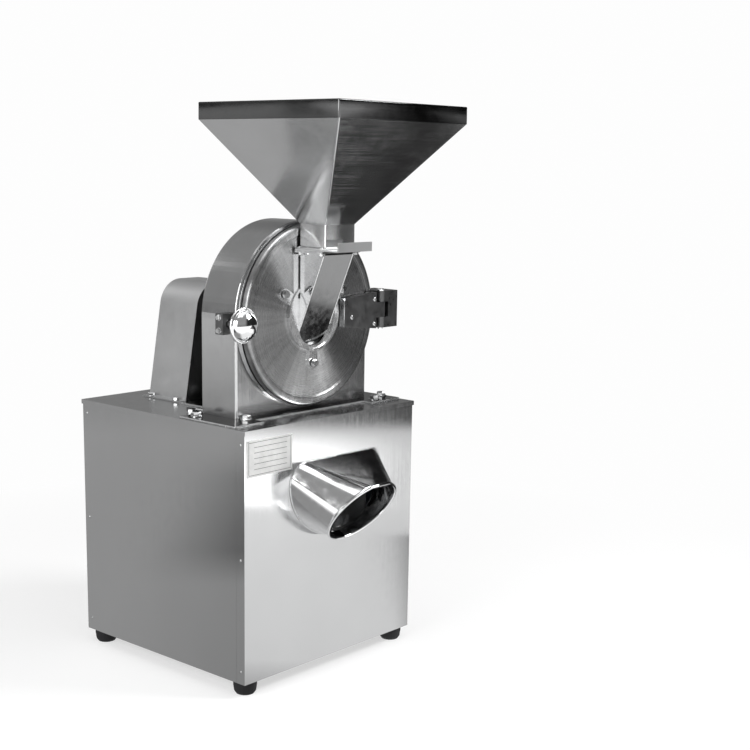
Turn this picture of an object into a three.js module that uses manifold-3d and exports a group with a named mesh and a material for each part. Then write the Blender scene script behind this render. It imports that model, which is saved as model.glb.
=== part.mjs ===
// Universal hammer mill: a sheet-steel cabinet with the motor inside, and on its top a round
// mill housing with a hinged door, feed chute and hopper.
// Millimetres, +Z up, +X to the right, -Y towards the operator. The origin is on the floor,
// under the centre of the machine's bounding box.
import * as THREE from 'three';
import { mergeVertices } from 'three/addons/utils/BufferGeometryUtils.js';
import Module from 'manifold-3d';

const wasm = await Module();
wasm.setup();

// ---- Driving dimensions -------------------------------------------------------------------

const GAP = 0.3;                 // gap between pieces that touch
const RUNNING = 0.02;            // least radial clearance of a shaft in its bore

const CABINET = { width: 540, depth: 536, height: 550 };
const FOOT_HEIGHT = 30;
const SHEET = 1.5;               // cabinet sheet thickness
const RETURN_FLANGE = 25;        // front panel's fold round each side
const LID = { overhang: 1.5, thick: 3, lip: 10 };
const ANGLE_BAR = { leg: 30, thick: 4 };

const SPINDLE_HEIGHT = 793;      // spindle axis above the floor
const HOUSING_FRONT_Y = -176;    // housing's front face, from the cabinet's centre
const ARCH_RADIUS = 206;
const HOUSING_DEPTH = 109;
const HOUSING_WALL = 6;
const HOUSING_EDGE = 4;          // rounding of the housing's front and back edges
const BORE_RADIUS = 168;         // grinding chamber
const BASE_PLATE_THICK = 4;

const DOOR_RADIUS = 200;
const DOOR_BACK = -6.3;          // door's back face, in front of the housing's front face
const DOOR_FRONT = -24;
const FEED_RADIUS = 68;          // feed opening in the door
const PIN = { x: 220, y: -31, radius: 6 };
const HINGE_HALF_HEIGHT = 42;
const HINGE_TONGUE = 17;         // half height of the leaf's knuckle
const LATCH = { x: -223, z: -4, knobRadius: 38, screwRadius: 7 };

const NECK = { halfX: 46, halfY: 38, y: -67, bottom: 148, top: 200 };
const RIM = { half: 201, y: -81, bottom: 413, top: 449 };
const HOPPER_WALL = 2;
const GATE = {
  halfX: 53, thick: 2.4, z: 144.8, front: -148, back: -34, handle: 20, lip: 2.5,
};

const ROTOR = {
  disc: 132, thick: 12, y: 66, hub: 34, hubTaper: 2, hubLong: 18,
  barInner: 75, barTip: 142, barCount: 8, barLong: 30, barThick: 14,
};
const SPINDLE_RADIUS = 20;
const BELT_Y = 310;              // belt plane, behind the housing's front face
const BELT_PITCH = 16;           // distance between the two belts
const SPINDLE_PULLEY_RADIUS = 45;
const MOTOR_PULLEY_RADIUS = 70;
const PULLEY_WIDTH = 40;
const MOTOR_HEIGHT = 208;        // motor axis above the floor
const MOTOR = { radius: 95, front: -160, back: 90, shaft: 14 };

const GUARD = {
  front: 78, back: 206, halfBottom: 125, corner: 62, halfFlat: 27, top: 849, sheet: 2,
  flange: 20, flangeThick: 3, shaftHole: 30,
};
const SPOUT = {
  middle: 10, halfX: 146, top: 487, shoulder: 441, bottom: 313, leftCorner: 50, rightCorner: 26,
};
const MOUTH = { radius: 92, y: -354, z: 379, tilt: THREE.MathUtils.degToRad(38), flat: 0.3 };
const SPOUT_WALL = 3;
const SPOUT_LEDGE = 4;           // panel left standing inside the spout's outline
const GLAND = { x: 150, z: 110, hole: 10, cable: 4.5, stem: 9.6, flange: 15, nut: 12, end: 10 };
const GLAND_BACK_Y = 290;

const PAST = 5;                  // how far a cutting solid reaches past the faces it cuts
const SEGMENTS = { large: 56, fit: 48, round: 32, small: 20 };

const LID_TOP = FOOT_HEIGHT + CABINET.height;
const BASE_TOP = LID_TOP + GAP + BASE_PLATE_THICK;
const HALF_W = CABINET.width / 2;
const HALF_D = CABINET.depth / 2;
const HOPPER_FRONT_Y = HOUSING_FRONT_Y + RIM.y - RIM.half;
const CENTRE_Y = (HOPPER_FRONT_Y + GLAND_BACK_Y) / 2;

// ---- Materials ----------------------------------------------------------------------------

const steelLook = (color, roughness, metalness = 1) =>
  new THREE.MeshStandardMaterial({ color, roughness, metalness });

const LOOKS = {
  brushed: steelLook(0xc9cacb, 0.35),
  polished: steelLook(0xd9dadb, 0.15),
  turned: steelLook(0xb9babc, 0.28),
  chrome: steelLook(0xe4e5e6, 0.06),
  castIron: steelLook(0x6a6c6e, 0.55, 0.9),
  toolSteel: steelLook(0x9a9b9d, 0.4),
  paint: steelLook(0x3f5563, 0.5, 0.1),
  rubber: steelLook(0x17181a, 0.8, 0),
  label: steelLook(0xd0d1d0, 0.45, 0.6),
};

// ---- Geometry helpers ---------------------------------------------------------------------

// Merges shared vertices, drops collapsed triangles and turns the faces outwards.
function closed(geometry) {
  const bare = geometry.clone();
  bare.deleteAttribute('normal');
  bare.deleteAttribute('uv');
  const merged = mergeVertices(bare, 1e-4);
  const position = merged.attributes.position;
  const index = merged.index.array;
  const corner = [new THREE.Vector3(), new THREE.Vector3(), new THREE.Vector3()];
  const kept = [];
  let volume = 0;
  for (let i = 0; i < index.length; i += 3) {
    const [a, b, c] = [index[i], index[i + 1], index[i + 2]];
    if (a === b || b === c || c === a) continue;
    kept.push(a, b, c);
    corner[0].fromBufferAttribute(position, a);
    corner[1].fromBufferAttribute(position, b);
    corner[2].fromBufferAttribute(position, c);
    volume += corner[0].dot(corner[1].cross(corner[2]));
  }
  if (volume < 0) kept.reverse();
  merged.setIndex(kept);
  return merged;
}

function solid(geometry) {
  const mesh = closed(geometry);
  return new wasm.Manifold(new wasm.Mesh({
    numProp: 3,
    vertProperties: new Float32Array(mesh.attributes.position.array),
    triVerts: new Uint32Array(mesh.index.array),
  }));
}

function geometryOf(manifold) {
  const mesh = manifold.getMesh();
  const geometry = new THREE.BufferGeometry();
  geometry.setAttribute('position', new THREE.BufferAttribute(mesh.vertProperties, 3));
  geometry.setIndex(new THREE.BufferAttribute(mesh.triVerts, 1));
  return geometry;
}

// The corner radius of a faceted bore whose flats clear a shaft by the running clearance.
const runningBore = (shaft) => (shaft + RUNNING) / Math.cos(Math.PI / SEGMENTS.fit);

const join = (first, ...rest) => rest.reduce((sum, part) => sum.add(part), first);
const cut = (first, ...rest) => rest.reduce((left, part) => left.subtract(part), first);

function box([x0, x1], [y0, y1], [z0, z1]) {
  const geometry = new THREE.BoxGeometry(x1 - x0, y1 - y0, z1 - z0);
  geometry.translate((x0 + x1) / 2, (y0 + y1) / 2, (z0 + z1) / 2);
  return solid(geometry);
}

// A closed profile of [radius, y] points turned about the Y axis.
function turnedY(profile, segments = SEGMENTS.round, x = 0, z = 0) {
  const points = profile.map(([radius, y]) => new THREE.Vector2(radius, y));
  const geometry = new THREE.LatheGeometry(points, segments);
  geometry.translate(x, 0, z);
  return solid(geometry);
}

function turnedZ(profile, segments = SEGMENTS.small, x = 0, y = 0) {
  const points = profile.map(([radius, z]) => new THREE.Vector2(radius, z));
  const geometry = new THREE.LatheGeometry(points, segments);
  geometry.rotateX(Math.PI / 2);
  geometry.translate(x, y, 0);
  return solid(geometry);
}

const rodProfile = (radius, from, to) => [[0, from], [radius, from], [radius, to], [0, to]];
const rodY = (radius, [y0, y1], x = 0, z = 0, segments = SEGMENTS.round) =>
  turnedY(rodProfile(radius, y0, y1), segments, x, z);
const rodZ = (radius, [z0, z1], x = 0, y = 0, segments = SEGMENTS.small) =>
  turnedZ(rodProfile(radius, z0, z1), segments, x, y);
const ringY = (outer, inner, [y0, y1], segments = SEGMENTS.round, x = 0, z = 0) => turnedY(
  [[inner, y0], [outer, y0], [outer, y1], [inner, y1], [inner, y0]], segments, x, z);

function outline(points) {
  return new THREE.Shape(points.map(([u, v]) => new THREE.Vector2(u, v)));
}

// A flat outline in X and Z, as thick as y0 to y1.
function plateXZ(shape, [y0, y1], curveSegments = 16) {
  const geometry = new THREE.ExtrudeGeometry(
    shape, { depth: y1 - y0, bevelEnabled: false, curveSegments });
  geometry.rotateX(Math.PI / 2);
  geometry.translate(0, y1, 0);
  return solid(geometry);
}

function plateXY(shape, [z0, z1], curveSegments = 12) {
  const geometry = new THREE.ExtrudeGeometry(
    shape, { depth: z1 - z0, bevelEnabled: false, curveSegments });
  geometry.translate(0, 0, z0);
  return solid(geometry);
}

// A flat outline in Y and Z, as thick as x0 to x1.
function plateYZ(shape, [x0, x1]) {
  const geometry = new THREE.ExtrudeGeometry(shape, { depth: x1 - x0, bevelEnabled: false });
  geometry.applyMatrix4(new THREE.Matrix4().set(0, 0, 1, 0, 1, 0, 0, 0, 0, 1, 0, 0, 0, 0, 0, 1));
  geometry.translate(x0, 0, 0);
  return solid(geometry);
}

// A skin through rings of equally many points; the last ring joins the first one.
function loft(rings) {
  const count = rings[0].length;
  const positions = [];
  const index = [];
  rings.forEach((ring) => ring.forEach((point) => positions.push(point.x, point.y, point.z)));
  for (let r = 0; r < rings.length; r += 1) {
    const next = (r + 1) % rings.length;
    for (let i = 0; i < count; i += 1) {
      const j = (i + 1) % count;
      index.push(r * count + i, r * count + j, next * count + j);
      index.push(r * count + i, next * count + j, next * count + i);
    }
  }
  const geometry = new THREE.BufferGeometry();
  geometry.setAttribute('position', new THREE.Float32BufferAttribute(positions, 3));
  geometry.setIndex(index);
  return solid(geometry);
}

function node(group, name, body, look) {
  const mesh = new THREE.Mesh(geometryOf(body), LOOKS[look].clone());
  mesh.name = name;
  group.add(mesh);
}

const machine = new THREE.Group();
const cabinet = new THREE.Group();
const mill = new THREE.Group();
const drive = new THREE.Group();
cabinet.position.set(0, -CENTRE_Y, 0);
mill.position.set(0, HOUSING_FRONT_Y - CENTRE_Y, SPINDLE_HEIGHT);
drive.position.set(0, -CENTRE_Y, MOTOR_HEIGHT);
machine.add(cabinet, mill, drive);

// ---- Cabinet ------------------------------------------------------------------------------

const PANEL_TOP = LID_TOP - LID.thick - GAP;
const FRAME_OUT_X = HALF_W - SHEET - GAP;
const FRAME_OUT_Y = HALF_D - SHEET - GAP;
const DISCHARGE = { halfX: 110, y0: -155, y1: -85 };
const BELT_SLOT = { halfX: 85, y0: 98, y1: 172 };
const MOTOR_RAIL = { height: 40, halfWidth: 20, front: -105, back: 35 };

// Angle bars along the twelve edges: a thin-walled box with a window in each side, and two
// rails across the bottom for the motor.
function cabinetFrame() {
  const { leg, thick } = ANGLE_BAR;
  const low = FOOT_HEIGHT;
  const high = PANEL_TOP - GAP;
  const block = (inX, inY, inZ) => box([inX - FRAME_OUT_X, FRAME_OUT_X - inX],
    [inY - FRAME_OUT_Y, FRAME_OUT_Y - inY], [low + inZ, high - inZ]);
  const through = -2 * leg;
  const bars = cut(block(0, 0, 0), block(thick, thick, thick),
    block(through, leg, leg), block(leg, through, leg), block(leg, leg, through));
  const rails = [MOTOR_RAIL.front, MOTOR_RAIL.back].map((y) => box([-FRAME_OUT_X, FRAME_OUT_X],
    [y - MOTOR_RAIL.halfWidth, y + MOTOR_RAIL.halfWidth], [low, low + MOTOR_RAIL.height]));
  return join(bars, ...rails);
}

// The spout's outline on the front panel: flat top, a large round corner on the left and a
// small one on the right, half-ellipse below. Its points run anticlockwise from the top's left
// end to its right end.
const OUTLINE_STEPS = 8;
function spoutOutline(inset) {
  const halfX = SPOUT.halfX - inset;
  const top = SPOUT.top - inset;
  const rise = top - SPOUT.shoulder;
  const drop = SPOUT.shoulder - SPOUT.bottom - inset;
  const side = (sign, corner) => {
    const points = [];
    for (let i = 0; i <= OUTLINE_STEPS; i += 1) {
      const turn = (i / OUTLINE_STEPS) * (Math.PI / 2);
      const out = halfX - corner * (1 - Math.sin(turn));
      points.push([SPOUT.middle + sign * out, SPOUT.shoulder + rise * Math.cos(turn)]);
    }
    for (let i = 1; i <= OUTLINE_STEPS; i += 1) {
      const turn = (i / OUTLINE_STEPS) * (Math.PI / 2);
      const out = halfX * Math.cos(turn);
      points.push([SPOUT.middle + sign * out, SPOUT.shoulder - drop * Math.sin(turn)]);
    }
    return points;
  };
  const right = side(1, SPOUT.rightCorner).slice(0, -1).reverse();
  return [...side(-1, SPOUT.leftCorner), ...right];
}

function frontPanel() {
  const z = [FOOT_HEIGHT, PANEL_TOP];
  const front = box([-HALF_W, HALF_W], [-HALF_D, -HALF_D + SHEET], z);
  const fold = [-HALF_D, -HALF_D + RETURN_FLANGE];
  const leftFold = box([-HALF_W, -HALF_W + SHEET], fold, z);
  const rightFold = box([HALF_W - SHEET, HALF_W], fold, z);
  const opening = plateXZ(outline(spoutOutline(SPOUT_LEDGE)), [-HALF_D - PAST, -HALF_D + PAST]);
  return cut(join(front, leftFold, rightFold), opening);
}

function sidePanel(side) {
  const x = [side * HALF_W, side * (HALF_W - SHEET)].sort((a, b) => a - b);
  return box(x, [-HALF_D + RETURN_FLANGE + GAP, HALF_D], [FOOT_HEIGHT, PANEL_TOP]);
}

const LOUVRE = { count: 6, half: 80, pitch: 18, slot: 5, z: 400 };

function rearPanel() {
  const x = [-HALF_W + SHEET + GAP, HALF_W - SHEET - GAP];
  let panel = box(x, [HALF_D - SHEET, HALF_D], [FOOT_HEIGHT, PANEL_TOP]);
  for (let i = 0; i < LOUVRE.count; i += 1) {
    const z = LOUVRE.z - i * LOUVRE.pitch;
    panel = panel.subtract(box([-LOUVRE.half, LOUVRE.half], [HALF_D - PAST, HALF_D + PAST],
      [z, z + LOUVRE.slot]));
  }
  return panel.subtract(
    rodY(GLAND.hole, [HALF_D - PAST, HALF_D + PAST], GLAND.x, GLAND.z, SEGMENTS.small));
}

function topPlate() {
  const out = HALF_W + LID.overhang;
  const lid = box([-out, out], [-out, out], [LID_TOP - LID.lip, LID_TOP]);
  const inside = HALF_W + GAP;
  const hollow = box([-inside, inside], [-inside, inside], [0, LID_TOP - LID.thick]);
  const through = [LID_TOP - LID.lip - PAST, LID_TOP + PAST];
  const feed = box([-DISCHARGE.halfX, DISCHARGE.halfX], [DISCHARGE.y0, DISCHARGE.y1], through);
  const belts = box([-BELT_SLOT.halfX, BELT_SLOT.halfX], [BELT_SLOT.y0, BELT_SLOT.y1], through);
  return cut(lid, hollow, feed, belts);
}

const FOOT = { inset: 30, radius: 26, sole: 20, swell: 24, swellZ: 6, fullZ: 20 };

function foot(x, y) {
  const top = FOOT_HEIGHT - GAP;
  const profile = [[0, 0], [FOOT.sole, 0], [FOOT.swell, FOOT.swellZ], [FOOT.radius, FOOT.fullZ],
    [FOOT.radius, top], [0, top]];
  return turnedZ(profile, SEGMENTS.small, x, y);
}

// The mouth's ring, matched point for point to the outline: the flat top runs to its top.
function mouthRing(radius, along) {
  const count = 4 * OUTLINE_STEPS + 1;
  const ring = [];
  for (let i = 0; i < count; i += 1) {
    const onLeft = i <= 2 * OUTLINE_STEPS;
    const share = (onLeft ? i : count - 1 - i) / (2 * OUTLINE_STEPS);
    const side = onLeft ? -1 : 1;
    const turn = MOUTH.flat + share * (Math.PI - MOUTH.flat);
    const x = side * radius * Math.sin(turn);
    const up = radius * Math.cos(turn);
    ring.push(new THREE.Vector3(
      x,
      MOUTH.y - up * Math.sin(MOUTH.tilt) - along * Math.cos(MOUTH.tilt),
      MOUTH.z + up * Math.cos(MOUTH.tilt) - along * Math.sin(MOUTH.tilt),
    ));
  }
  return ring;
}

// A sheet funnel from the front panel to a round mouth with a rolled rim.
function outletSpout() {
  const onPanel = (inset) => spoutOutline(inset)
    .map(([x, z]) => new THREE.Vector3(x, -HALF_D - GAP, z));
  const outer = MOUTH.radius;
  const middle = outer - SPOUT_WALL;
  const inner = middle - SPOUT_WALL;
  const [bead, half] = [4, 2];
  return loft([
    onPanel(0), mouthRing(middle, -bead), mouthRing(outer, -half), mouthRing(outer, half),
    mouthRing(middle, bead), mouthRing(inner, half), mouthRing(inner, -bead),
    onPanel(SPOUT_WALL),
  ]);
}

const DUCT = { sheet: 2, ledge: 500, sill: 322, clear: 3 };

// The duct under the mill: straight down, then forward along a slope to the spout.
function dischargeDuct() {
  const { sheet, ledge, sill, clear } = DUCT;
  const top = PANEL_TOP - GAP;
  const front = -HALF_D + SHEET + GAP;
  const [near, far] = [DISCHARGE.y0, DISCHARGE.y1];
  const outside = outline([[near - sheet, top], [near - sheet, ledge], [front, ledge],
    [front, sill], [far + sheet, ledge], [far + sheet, top]]);
  const inside = outline([[near, top + PAST], [near, ledge - sheet],
    [front - PAST, ledge - sheet], [front - PAST, sill - sheet], [front, sill + clear],
    [far, ledge + 1], [far, top + PAST]]);
  const half = DISCHARGE.halfX;
  return cut(plateYZ(outside, [-half - sheet, half + sheet]), plateYZ(inside, [-half, half]));
}

function cableGland() {
  const { cable, stem, flange, nut, end } = GLAND;
  const inside = HALF_D - 12;
  const seat = HALF_D + GAP;
  const profile = [[cable, inside], [stem, inside], [stem, seat], [flange, seat],
    [flange, HALF_D + 8], [nut, HALF_D + 10], [end, GLAND_BACK_Y], [cable, GLAND_BACK_Y],
    [cable, inside]];
  return turnedY(profile, SEGMENTS.small, GLAND.x, GLAND.z);
}

const NAMEPLATE = { left: -263, right: -131, bottom: 480, top: 558, thick: 0.8 };
const nameplate = () => box([NAMEPLATE.left, NAMEPLATE.right],
  [-HALF_D - GAP - NAMEPLATE.thick, -HALF_D - GAP], [NAMEPLATE.bottom, NAMEPLATE.top]);

node(cabinet, 'cabinet_frame', cabinetFrame(), 'castIron');
node(cabinet, 'front_panel', frontPanel(), 'brushed');
node(cabinet, 'left_panel', sidePanel(-1), 'brushed');
node(cabinet, 'right_panel', sidePanel(1), 'brushed');
node(cabinet, 'rear_panel', rearPanel(), 'brushed');
node(cabinet, 'top_plate', topPlate(), 'brushed');
for (const [row, sy] of [['front', -1], ['rear', 1]]) {
  for (const [column, sx] of [['left', -1], ['right', 1]]) {
    const block = foot(sx * (HALF_W - FOOT.inset), sy * (HALF_D - FOOT.inset));
    node(cabinet, `foot_${row}_${column}`, block, 'rubber');
  }
}
node(cabinet, 'outlet_spout', outletSpout(), 'polished');
node(cabinet, 'discharge_duct', dischargeDuct(), 'brushed');
node(cabinet, 'nameplate', nameplate(), 'label');
node(cabinet, 'cable_gland', cableGland(), 'rubber');

// ---- Mill base, housing and guard ---------------------------------------------------------

const BASE = {
  halfX: 264, front: -232, recess: -205, back: -62, leftEar: -178, rightEar: 166, tail: 150,
  tailBack: 72,
};

// The plate on the lid: two ears in front, a narrower tail under the bearing housing.

function millBase() {
  const shape = outline([
    [-BASE.halfX, BASE.front], [BASE.leftEar, BASE.front], [BASE.leftEar, BASE.recess],
    [BASE.rightEar, BASE.recess], [BASE.rightEar, BASE.front], [BASE.halfX, BASE.front],
    [BASE.halfX, BASE.back], [BASE.tail, BASE.back], [BASE.tail, BASE.tailBack],
    [-BASE.tail, BASE.tailBack], [-BASE.tail, BASE.back], [-BASE.halfX, BASE.back],
  ]);
  const plate = plateXY(shape, [LID_TOP + GAP, BASE_TOP]);
  const opening = box([-DISCHARGE.halfX, DISCHARGE.halfX], [DISCHARGE.y0, DISCHARGE.y1],
    [LID_TOP - PAST, BASE_TOP + PAST]);
  return plate.subtract(opening);
}

const HOUSING_FOOT = BASE_TOP + GAP - SPINDLE_HEIGHT;

// A tombstone: a half circle on straight legs, down to the base plate or below it.
function tombstone(radius, below = 0) {
  const shape = new THREE.Shape();
  shape.moveTo(radius, HOUSING_FOOT - below);
  shape.lineTo(radius, 0);
  shape.absarc(0, 0, radius, 0, Math.PI, false);
  shape.lineTo(-radius, HOUSING_FOOT - below);
  return shape;
}

// The housing's outside, with its front and back edges rounded over.
function roundedTombstone() {
  const round = HOUSING_EDGE;
  const geometry = new THREE.ExtrudeGeometry(tombstone(ARCH_RADIUS, 2 * round), {
    depth: HOUSING_DEPTH - 2 * round,
    bevelThickness: round,
    bevelSize: round,
    bevelOffset: -round,
    bevelSegments: 3,
    curveSegments: 28,
  });
  geometry.rotateX(Math.PI / 2);
  geometry.translate(0, HOUSING_DEPTH - round, 0);
  const below = box([-ARCH_RADIUS - 1, ARCH_RADIUS + 1], [-1, HOUSING_DEPTH + 1],
    [HOUSING_FOOT - 3 * round, HOUSING_FOOT]);
  return cut(solid(geometry), below);
}

const SCREEN_SPREAD = THREE.MathUtils.degToRad(52);  // half angle of the screen, from below
const SCREEN_EDGE = { outfall: -0.05, screen: -0.02, slots: -0.08 };
const CHAMBER = [10, HOUSING_DEPTH - 8];              // inside of the housing's shell
const LINER = [12, CHAMBER[1] - GAP];
const DRUM_WALL = 8;

// A wedge below the axis that spans the screen's angle.
function screenWedge(half, y) {
  const reach = ARCH_RADIUS + 54;
  const shape = outline([[0, 0], [-reach * Math.tan(half), -reach],
    [reach * Math.tan(half), -reach]]);
  return plateXZ(shape, y);
}

const SEAT = { past: 1, width: 11, front: -5.9, back: 0.5 };

// A rounded sheet shell round a drum, with a raised seat for the door and an outfall below.
function millHousing() {
  const seat = ringY(DOOR_RADIUS + SEAT.past, DOOR_RADIUS + SEAT.past - SEAT.width,
    [SEAT.front, SEAT.back], SEGMENTS.large);
  const hollow = plateXZ(tombstone(ARCH_RADIUS - HOUSING_WALL), CHAMBER, 28);
  const openBelow = box([-BASE.tail, BASE.tail], CHAMBER, [HOUSING_FOOT - 20, HOUSING_FOOT + 20]);
  const drum = ringY(BORE_RADIUS + DRUM_WALL, BORE_RADIUS,
    [CHAMBER[0] - 1, CHAMBER[1] + 1], SEGMENTS.large);
  const body = join(cut(roundedTombstone(), hollow, openBelow), seat, drum);
  const bore = rodY(BORE_RADIUS, [-20, CHAMBER[1]], 0, 0, SEGMENTS.large);
  const shaftHole = rodY(SPINDLE_RADIUS + 14, [0, HOUSING_DEPTH + 20]);
  const outfall = screenWedge(SCREEN_SPREAD + SCREEN_EDGE.outfall, CHAMBER)
    .intersect(rodY(BORE_RADIUS + 12, CHAMBER));
  return cut(body, bore, shaftHole, outfall);
}

const TOOTH = { count: 36, valley: 157, tip: 149 };

// Toothed liner: a ring with saw-cut grooves, open where the screen sits.
function toothLiner() {
  const points = [];
  for (let i = 0; i < TOOTH.count; i += 1) {
    for (const [share, radius] of [[0, TOOTH.valley], [0.35, TOOTH.tip], [0.65, TOOTH.tip]]) {
      const turn = ((i + share) / TOOTH.count) * 2 * Math.PI;
      points.push([radius * Math.cos(turn), radius * Math.sin(turn)]);
    }
  }
  const ring = rodY(BORE_RADIUS - GAP, LINER, 0, 0, SEGMENTS.large);
  const toothed = plateXZ(outline(points), [LINER[0] - PAST, LINER[1] + PAST]);
  return cut(ring, toothed, screenWedge(SCREEN_SPREAD, [0, HOUSING_DEPTH]));
}

const SCREEN = { thick: 3, slots: 14, slotWidth: 5, edge: 8 };

// The slotted screen that closes the drum below the rotor.
function ringScreen() {
  const outer = BORE_RADIUS - GAP;
  let screen = ringY(outer, outer - SCREEN.thick, LINER, SEGMENTS.large)
    .intersect(screenWedge(SCREEN_SPREAD + SCREEN_EDGE.screen, [0, HOUSING_DEPTH]));
  for (let i = 0; i < SCREEN.slots; i += 1) {
    const turn = ((i + 0.5) / SCREEN.slots - 0.5) * 2 * (SCREEN_SPREAD + SCREEN_EDGE.slots);
    const slot = new THREE.BoxGeometry(
      SCREEN.slotWidth, LINER[1] - LINER[0] - 2 * SCREEN.edge, 20);
    slot.translate(0, (LINER[0] + LINER[1]) / 2, -BORE_RADIUS);
    slot.rotateY(turn);
    screen = screen.subtract(solid(slot));
  }
  return screen;
}

const BEARING = { outer: 36, inner: runningBore(SPINDLE_RADIUS), width: 18 };
const BEARING_SEATS = [126, 216];        // front faces of the two bearings
const PEDESTAL = {
  barrel: 48, front: 122, back: 238, bore: 29, webHalf: 34, soleHalf: 78, soleThick: 14,
};

// A barrel for both bearings on a web and a bolted sole.
function bearingHousing() {
  const { barrel, front, back, webHalf, soleHalf, soleThick } = PEDESTAL;
  const web = box([-webHalf, webHalf], [front + 18, back - 18],
    [HOUSING_FOOT + soleThick - 9, -SPINDLE_RADIUS]);
  const sole = box([-soleHalf, soleHalf], [front + 6, back - 2],
    [HOUSING_FOOT, HOUSING_FOOT + soleThick]);
  const body = join(rodY(barrel, [front, back]), web, sole);
  const [ahead, behind] = [front - 22, back + 22];
  const bore = rodY(PEDESTAL.bore, [ahead, behind]);
  const seats = BEARING_SEATS.map((y, i) => rodY(BEARING.outer + GAP,
    i === 0 ? [ahead, y + BEARING.width + GAP] : [y - GAP, behind]));
  return cut(body, bore, ...seats);
}

const bearing = (y) =>
  ringY(BEARING.outer, BEARING.inner, [y, y + BEARING.width], SEGMENTS.fit);

// The guard's outline: straight sides that lean in, tangent to the top's round corners.
function guardOutline(inset, low) {
  const radius = GUARD.corner - inset;
  const centre = GUARD.top - GUARD.corner;
  const drop = centre - low;
  const run = GUARD.halfBottom - inset - GUARD.halfFlat;
  const lean = Math.atan2(run, drop) - Math.asin(radius / Math.hypot(run, drop));
  const shape = new THREE.Shape();
  shape.moveTo(GUARD.halfBottom - inset, low);
  shape.lineTo(GUARD.halfFlat + radius * Math.cos(lean), centre + radius * Math.sin(lean));
  shape.absarc(GUARD.halfFlat, centre, radius, lean, Math.PI / 2, false);
  shape.absarc(-GUARD.halfFlat, centre, radius, Math.PI / 2, Math.PI - lean, false);
  shape.lineTo(inset - GUARD.halfBottom, low);
  return shape;
}

function beltGuard() {
  const floor = LID_TOP + GAP;
  const { front, back, sheet, halfBottom } = GUARD;
  const shell = plateXZ(guardOutline(0, floor), [front, back], 10);
  const hollow = plateXZ(guardOutline(sheet, floor - PAST), [front + sheet, back - sheet], 10);
  const shaftHole = rodY(GUARD.shaftHole, [front - PAST, front + PAST], 0, SPINDLE_HEIGHT);
  const strip = (side, inner, outer) => box(
    [side * inner, side * outer].sort((a, b) => a - b),
    [front, back], [floor, floor + GUARD.flangeThick]);
  const flanges = [-1, 1].flatMap((side) => [
    strip(side, halfBottom, halfBottom + GUARD.flange),
    strip(side, halfBottom - sheet, halfBottom + 1)]);
  return join(cut(shell, hollow, shaftHole), ...flanges);
}

node(cabinet, 'mill_base', millBase(), 'brushed');
node(mill, 'mill_housing', millHousing(), 'turned');
node(mill, 'tooth_liner', toothLiner(), 'toolSteel');
node(mill, 'ring_screen', ringScreen(), 'toolSteel');
node(mill, 'bearing_housing', bearingHousing(), 'castIron');
node(mill, 'front_bearing', bearing(BEARING_SEATS[0]), 'chrome');
node(mill, 'rear_bearing', bearing(BEARING_SEATS[1]), 'chrome');
node(cabinet, 'belt_guard', beltGuard(), 'brushed');

// ---- Rotor --------------------------------------------------------------------------------

const GROOVE = { depth: 9, outerHalf: 6, innerHalf: 4 };
const HUB = 12;                  // inner radius of a pulley before its bore is cut

// A pulley's profile with one V groove for each belt.
function grooves(radius, y0) {
  const { depth, outerHalf, innerHalf } = GROOVE;
  const profile = [[HUB, y0], [radius, y0]];
  for (const side of [-1, 1]) {
    const y = y0 + PULLEY_WIDTH / 2 + (side * BELT_PITCH) / 2;
    profile.push([radius, y - outerHalf], [radius - depth, y - innerHalf],
      [radius - depth, y + innerHalf], [radius, y + outerHalf]);
  }
  profile.push([radius, y0 + PULLEY_WIDTH], [HUB, y0 + PULLEY_WIDTH], [HUB, y0]);
  return profile;
}

function pulley(radius, shaft, y0) {
  const bore = rodY(shaft + GAP, [y0 - PAST, y0 + PULLEY_WIDTH + PAST]);
  return cut(turnedY(grooves(radius, y0)), bore);
}

const THREAD = { radius: 10, front: 48, shoulder: 58 };

function spindle() {
  const r = SPINDLE_RADIUS;
  const back = BELT_Y + 26;
  return turnedY([[0, THREAD.front], [THREAD.radius, THREAD.front],
    [THREAD.radius, THREAD.shoulder], [r, THREAD.shoulder], [r, back], [0, back]],
  SEGMENTS.fit);
}

function rotorDisc() {
  const { disc, thick, y, hub, hubTaper, hubLong } = ROTOR;
  const bore = SPINDLE_RADIUS + GAP;
  const [face, end] = [y + thick, y + thick + hubLong];
  const profile = [[bore, y], [disc, y], [disc, face], [hub, face], [hub - hubTaper, end],
    [bore, end], [bore, y]];
  return turnedY(profile, SEGMENTS.large);
}

function hammerBar(i) {
  const { barInner, barTip, barCount, barLong, barThick, y } = ROTOR;
  const bar = new THREE.BoxGeometry(barTip - barInner, barLong, barThick);
  bar.translate((barInner + barTip) / 2, y - GAP - barLong / 2, 0);
  bar.rotateY(-((i + 0.5) / barCount) * 2 * Math.PI);
  return solid(bar);
}

function rotorNut() {
  const [front, back] = [THREAD.front - 2, THREAD.shoulder - 0.5];
  const nut = rodY(17, [front, back], 0, 0, 6);
  return nut.subtract(
    rodY(THREAD.radius + GAP, [front - PAST, back + PAST], 0, 0, SEGMENTS.small));
}

node(mill, 'spindle', spindle(), 'toolSteel');
node(mill, 'rotor_disc', rotorDisc(), 'turned');
for (let i = 0; i < ROTOR.barCount; i += 1) {
  node(mill, `hammer_bar_${i + 1}`, hammerBar(i), 'toolSteel');
}
node(mill, 'rotor_nut', rotorNut(), 'chrome');
node(mill, 'spindle_pulley',
  pulley(SPINDLE_PULLEY_RADIUS, SPINDLE_RADIUS, BELT_Y - PULLEY_WIDTH / 2), 'castIron');

// ---- Door, hinge and latch ----------------------------------------------------------------

const DOOR = {
  round: 8, rimRaise: 2, rimInner: 22, rimSlope: 3, step: 7, stepY: -10, shell: 2,
  spigotGap: 3, spigotWall: 6, spigotBack: 6,
};

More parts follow.
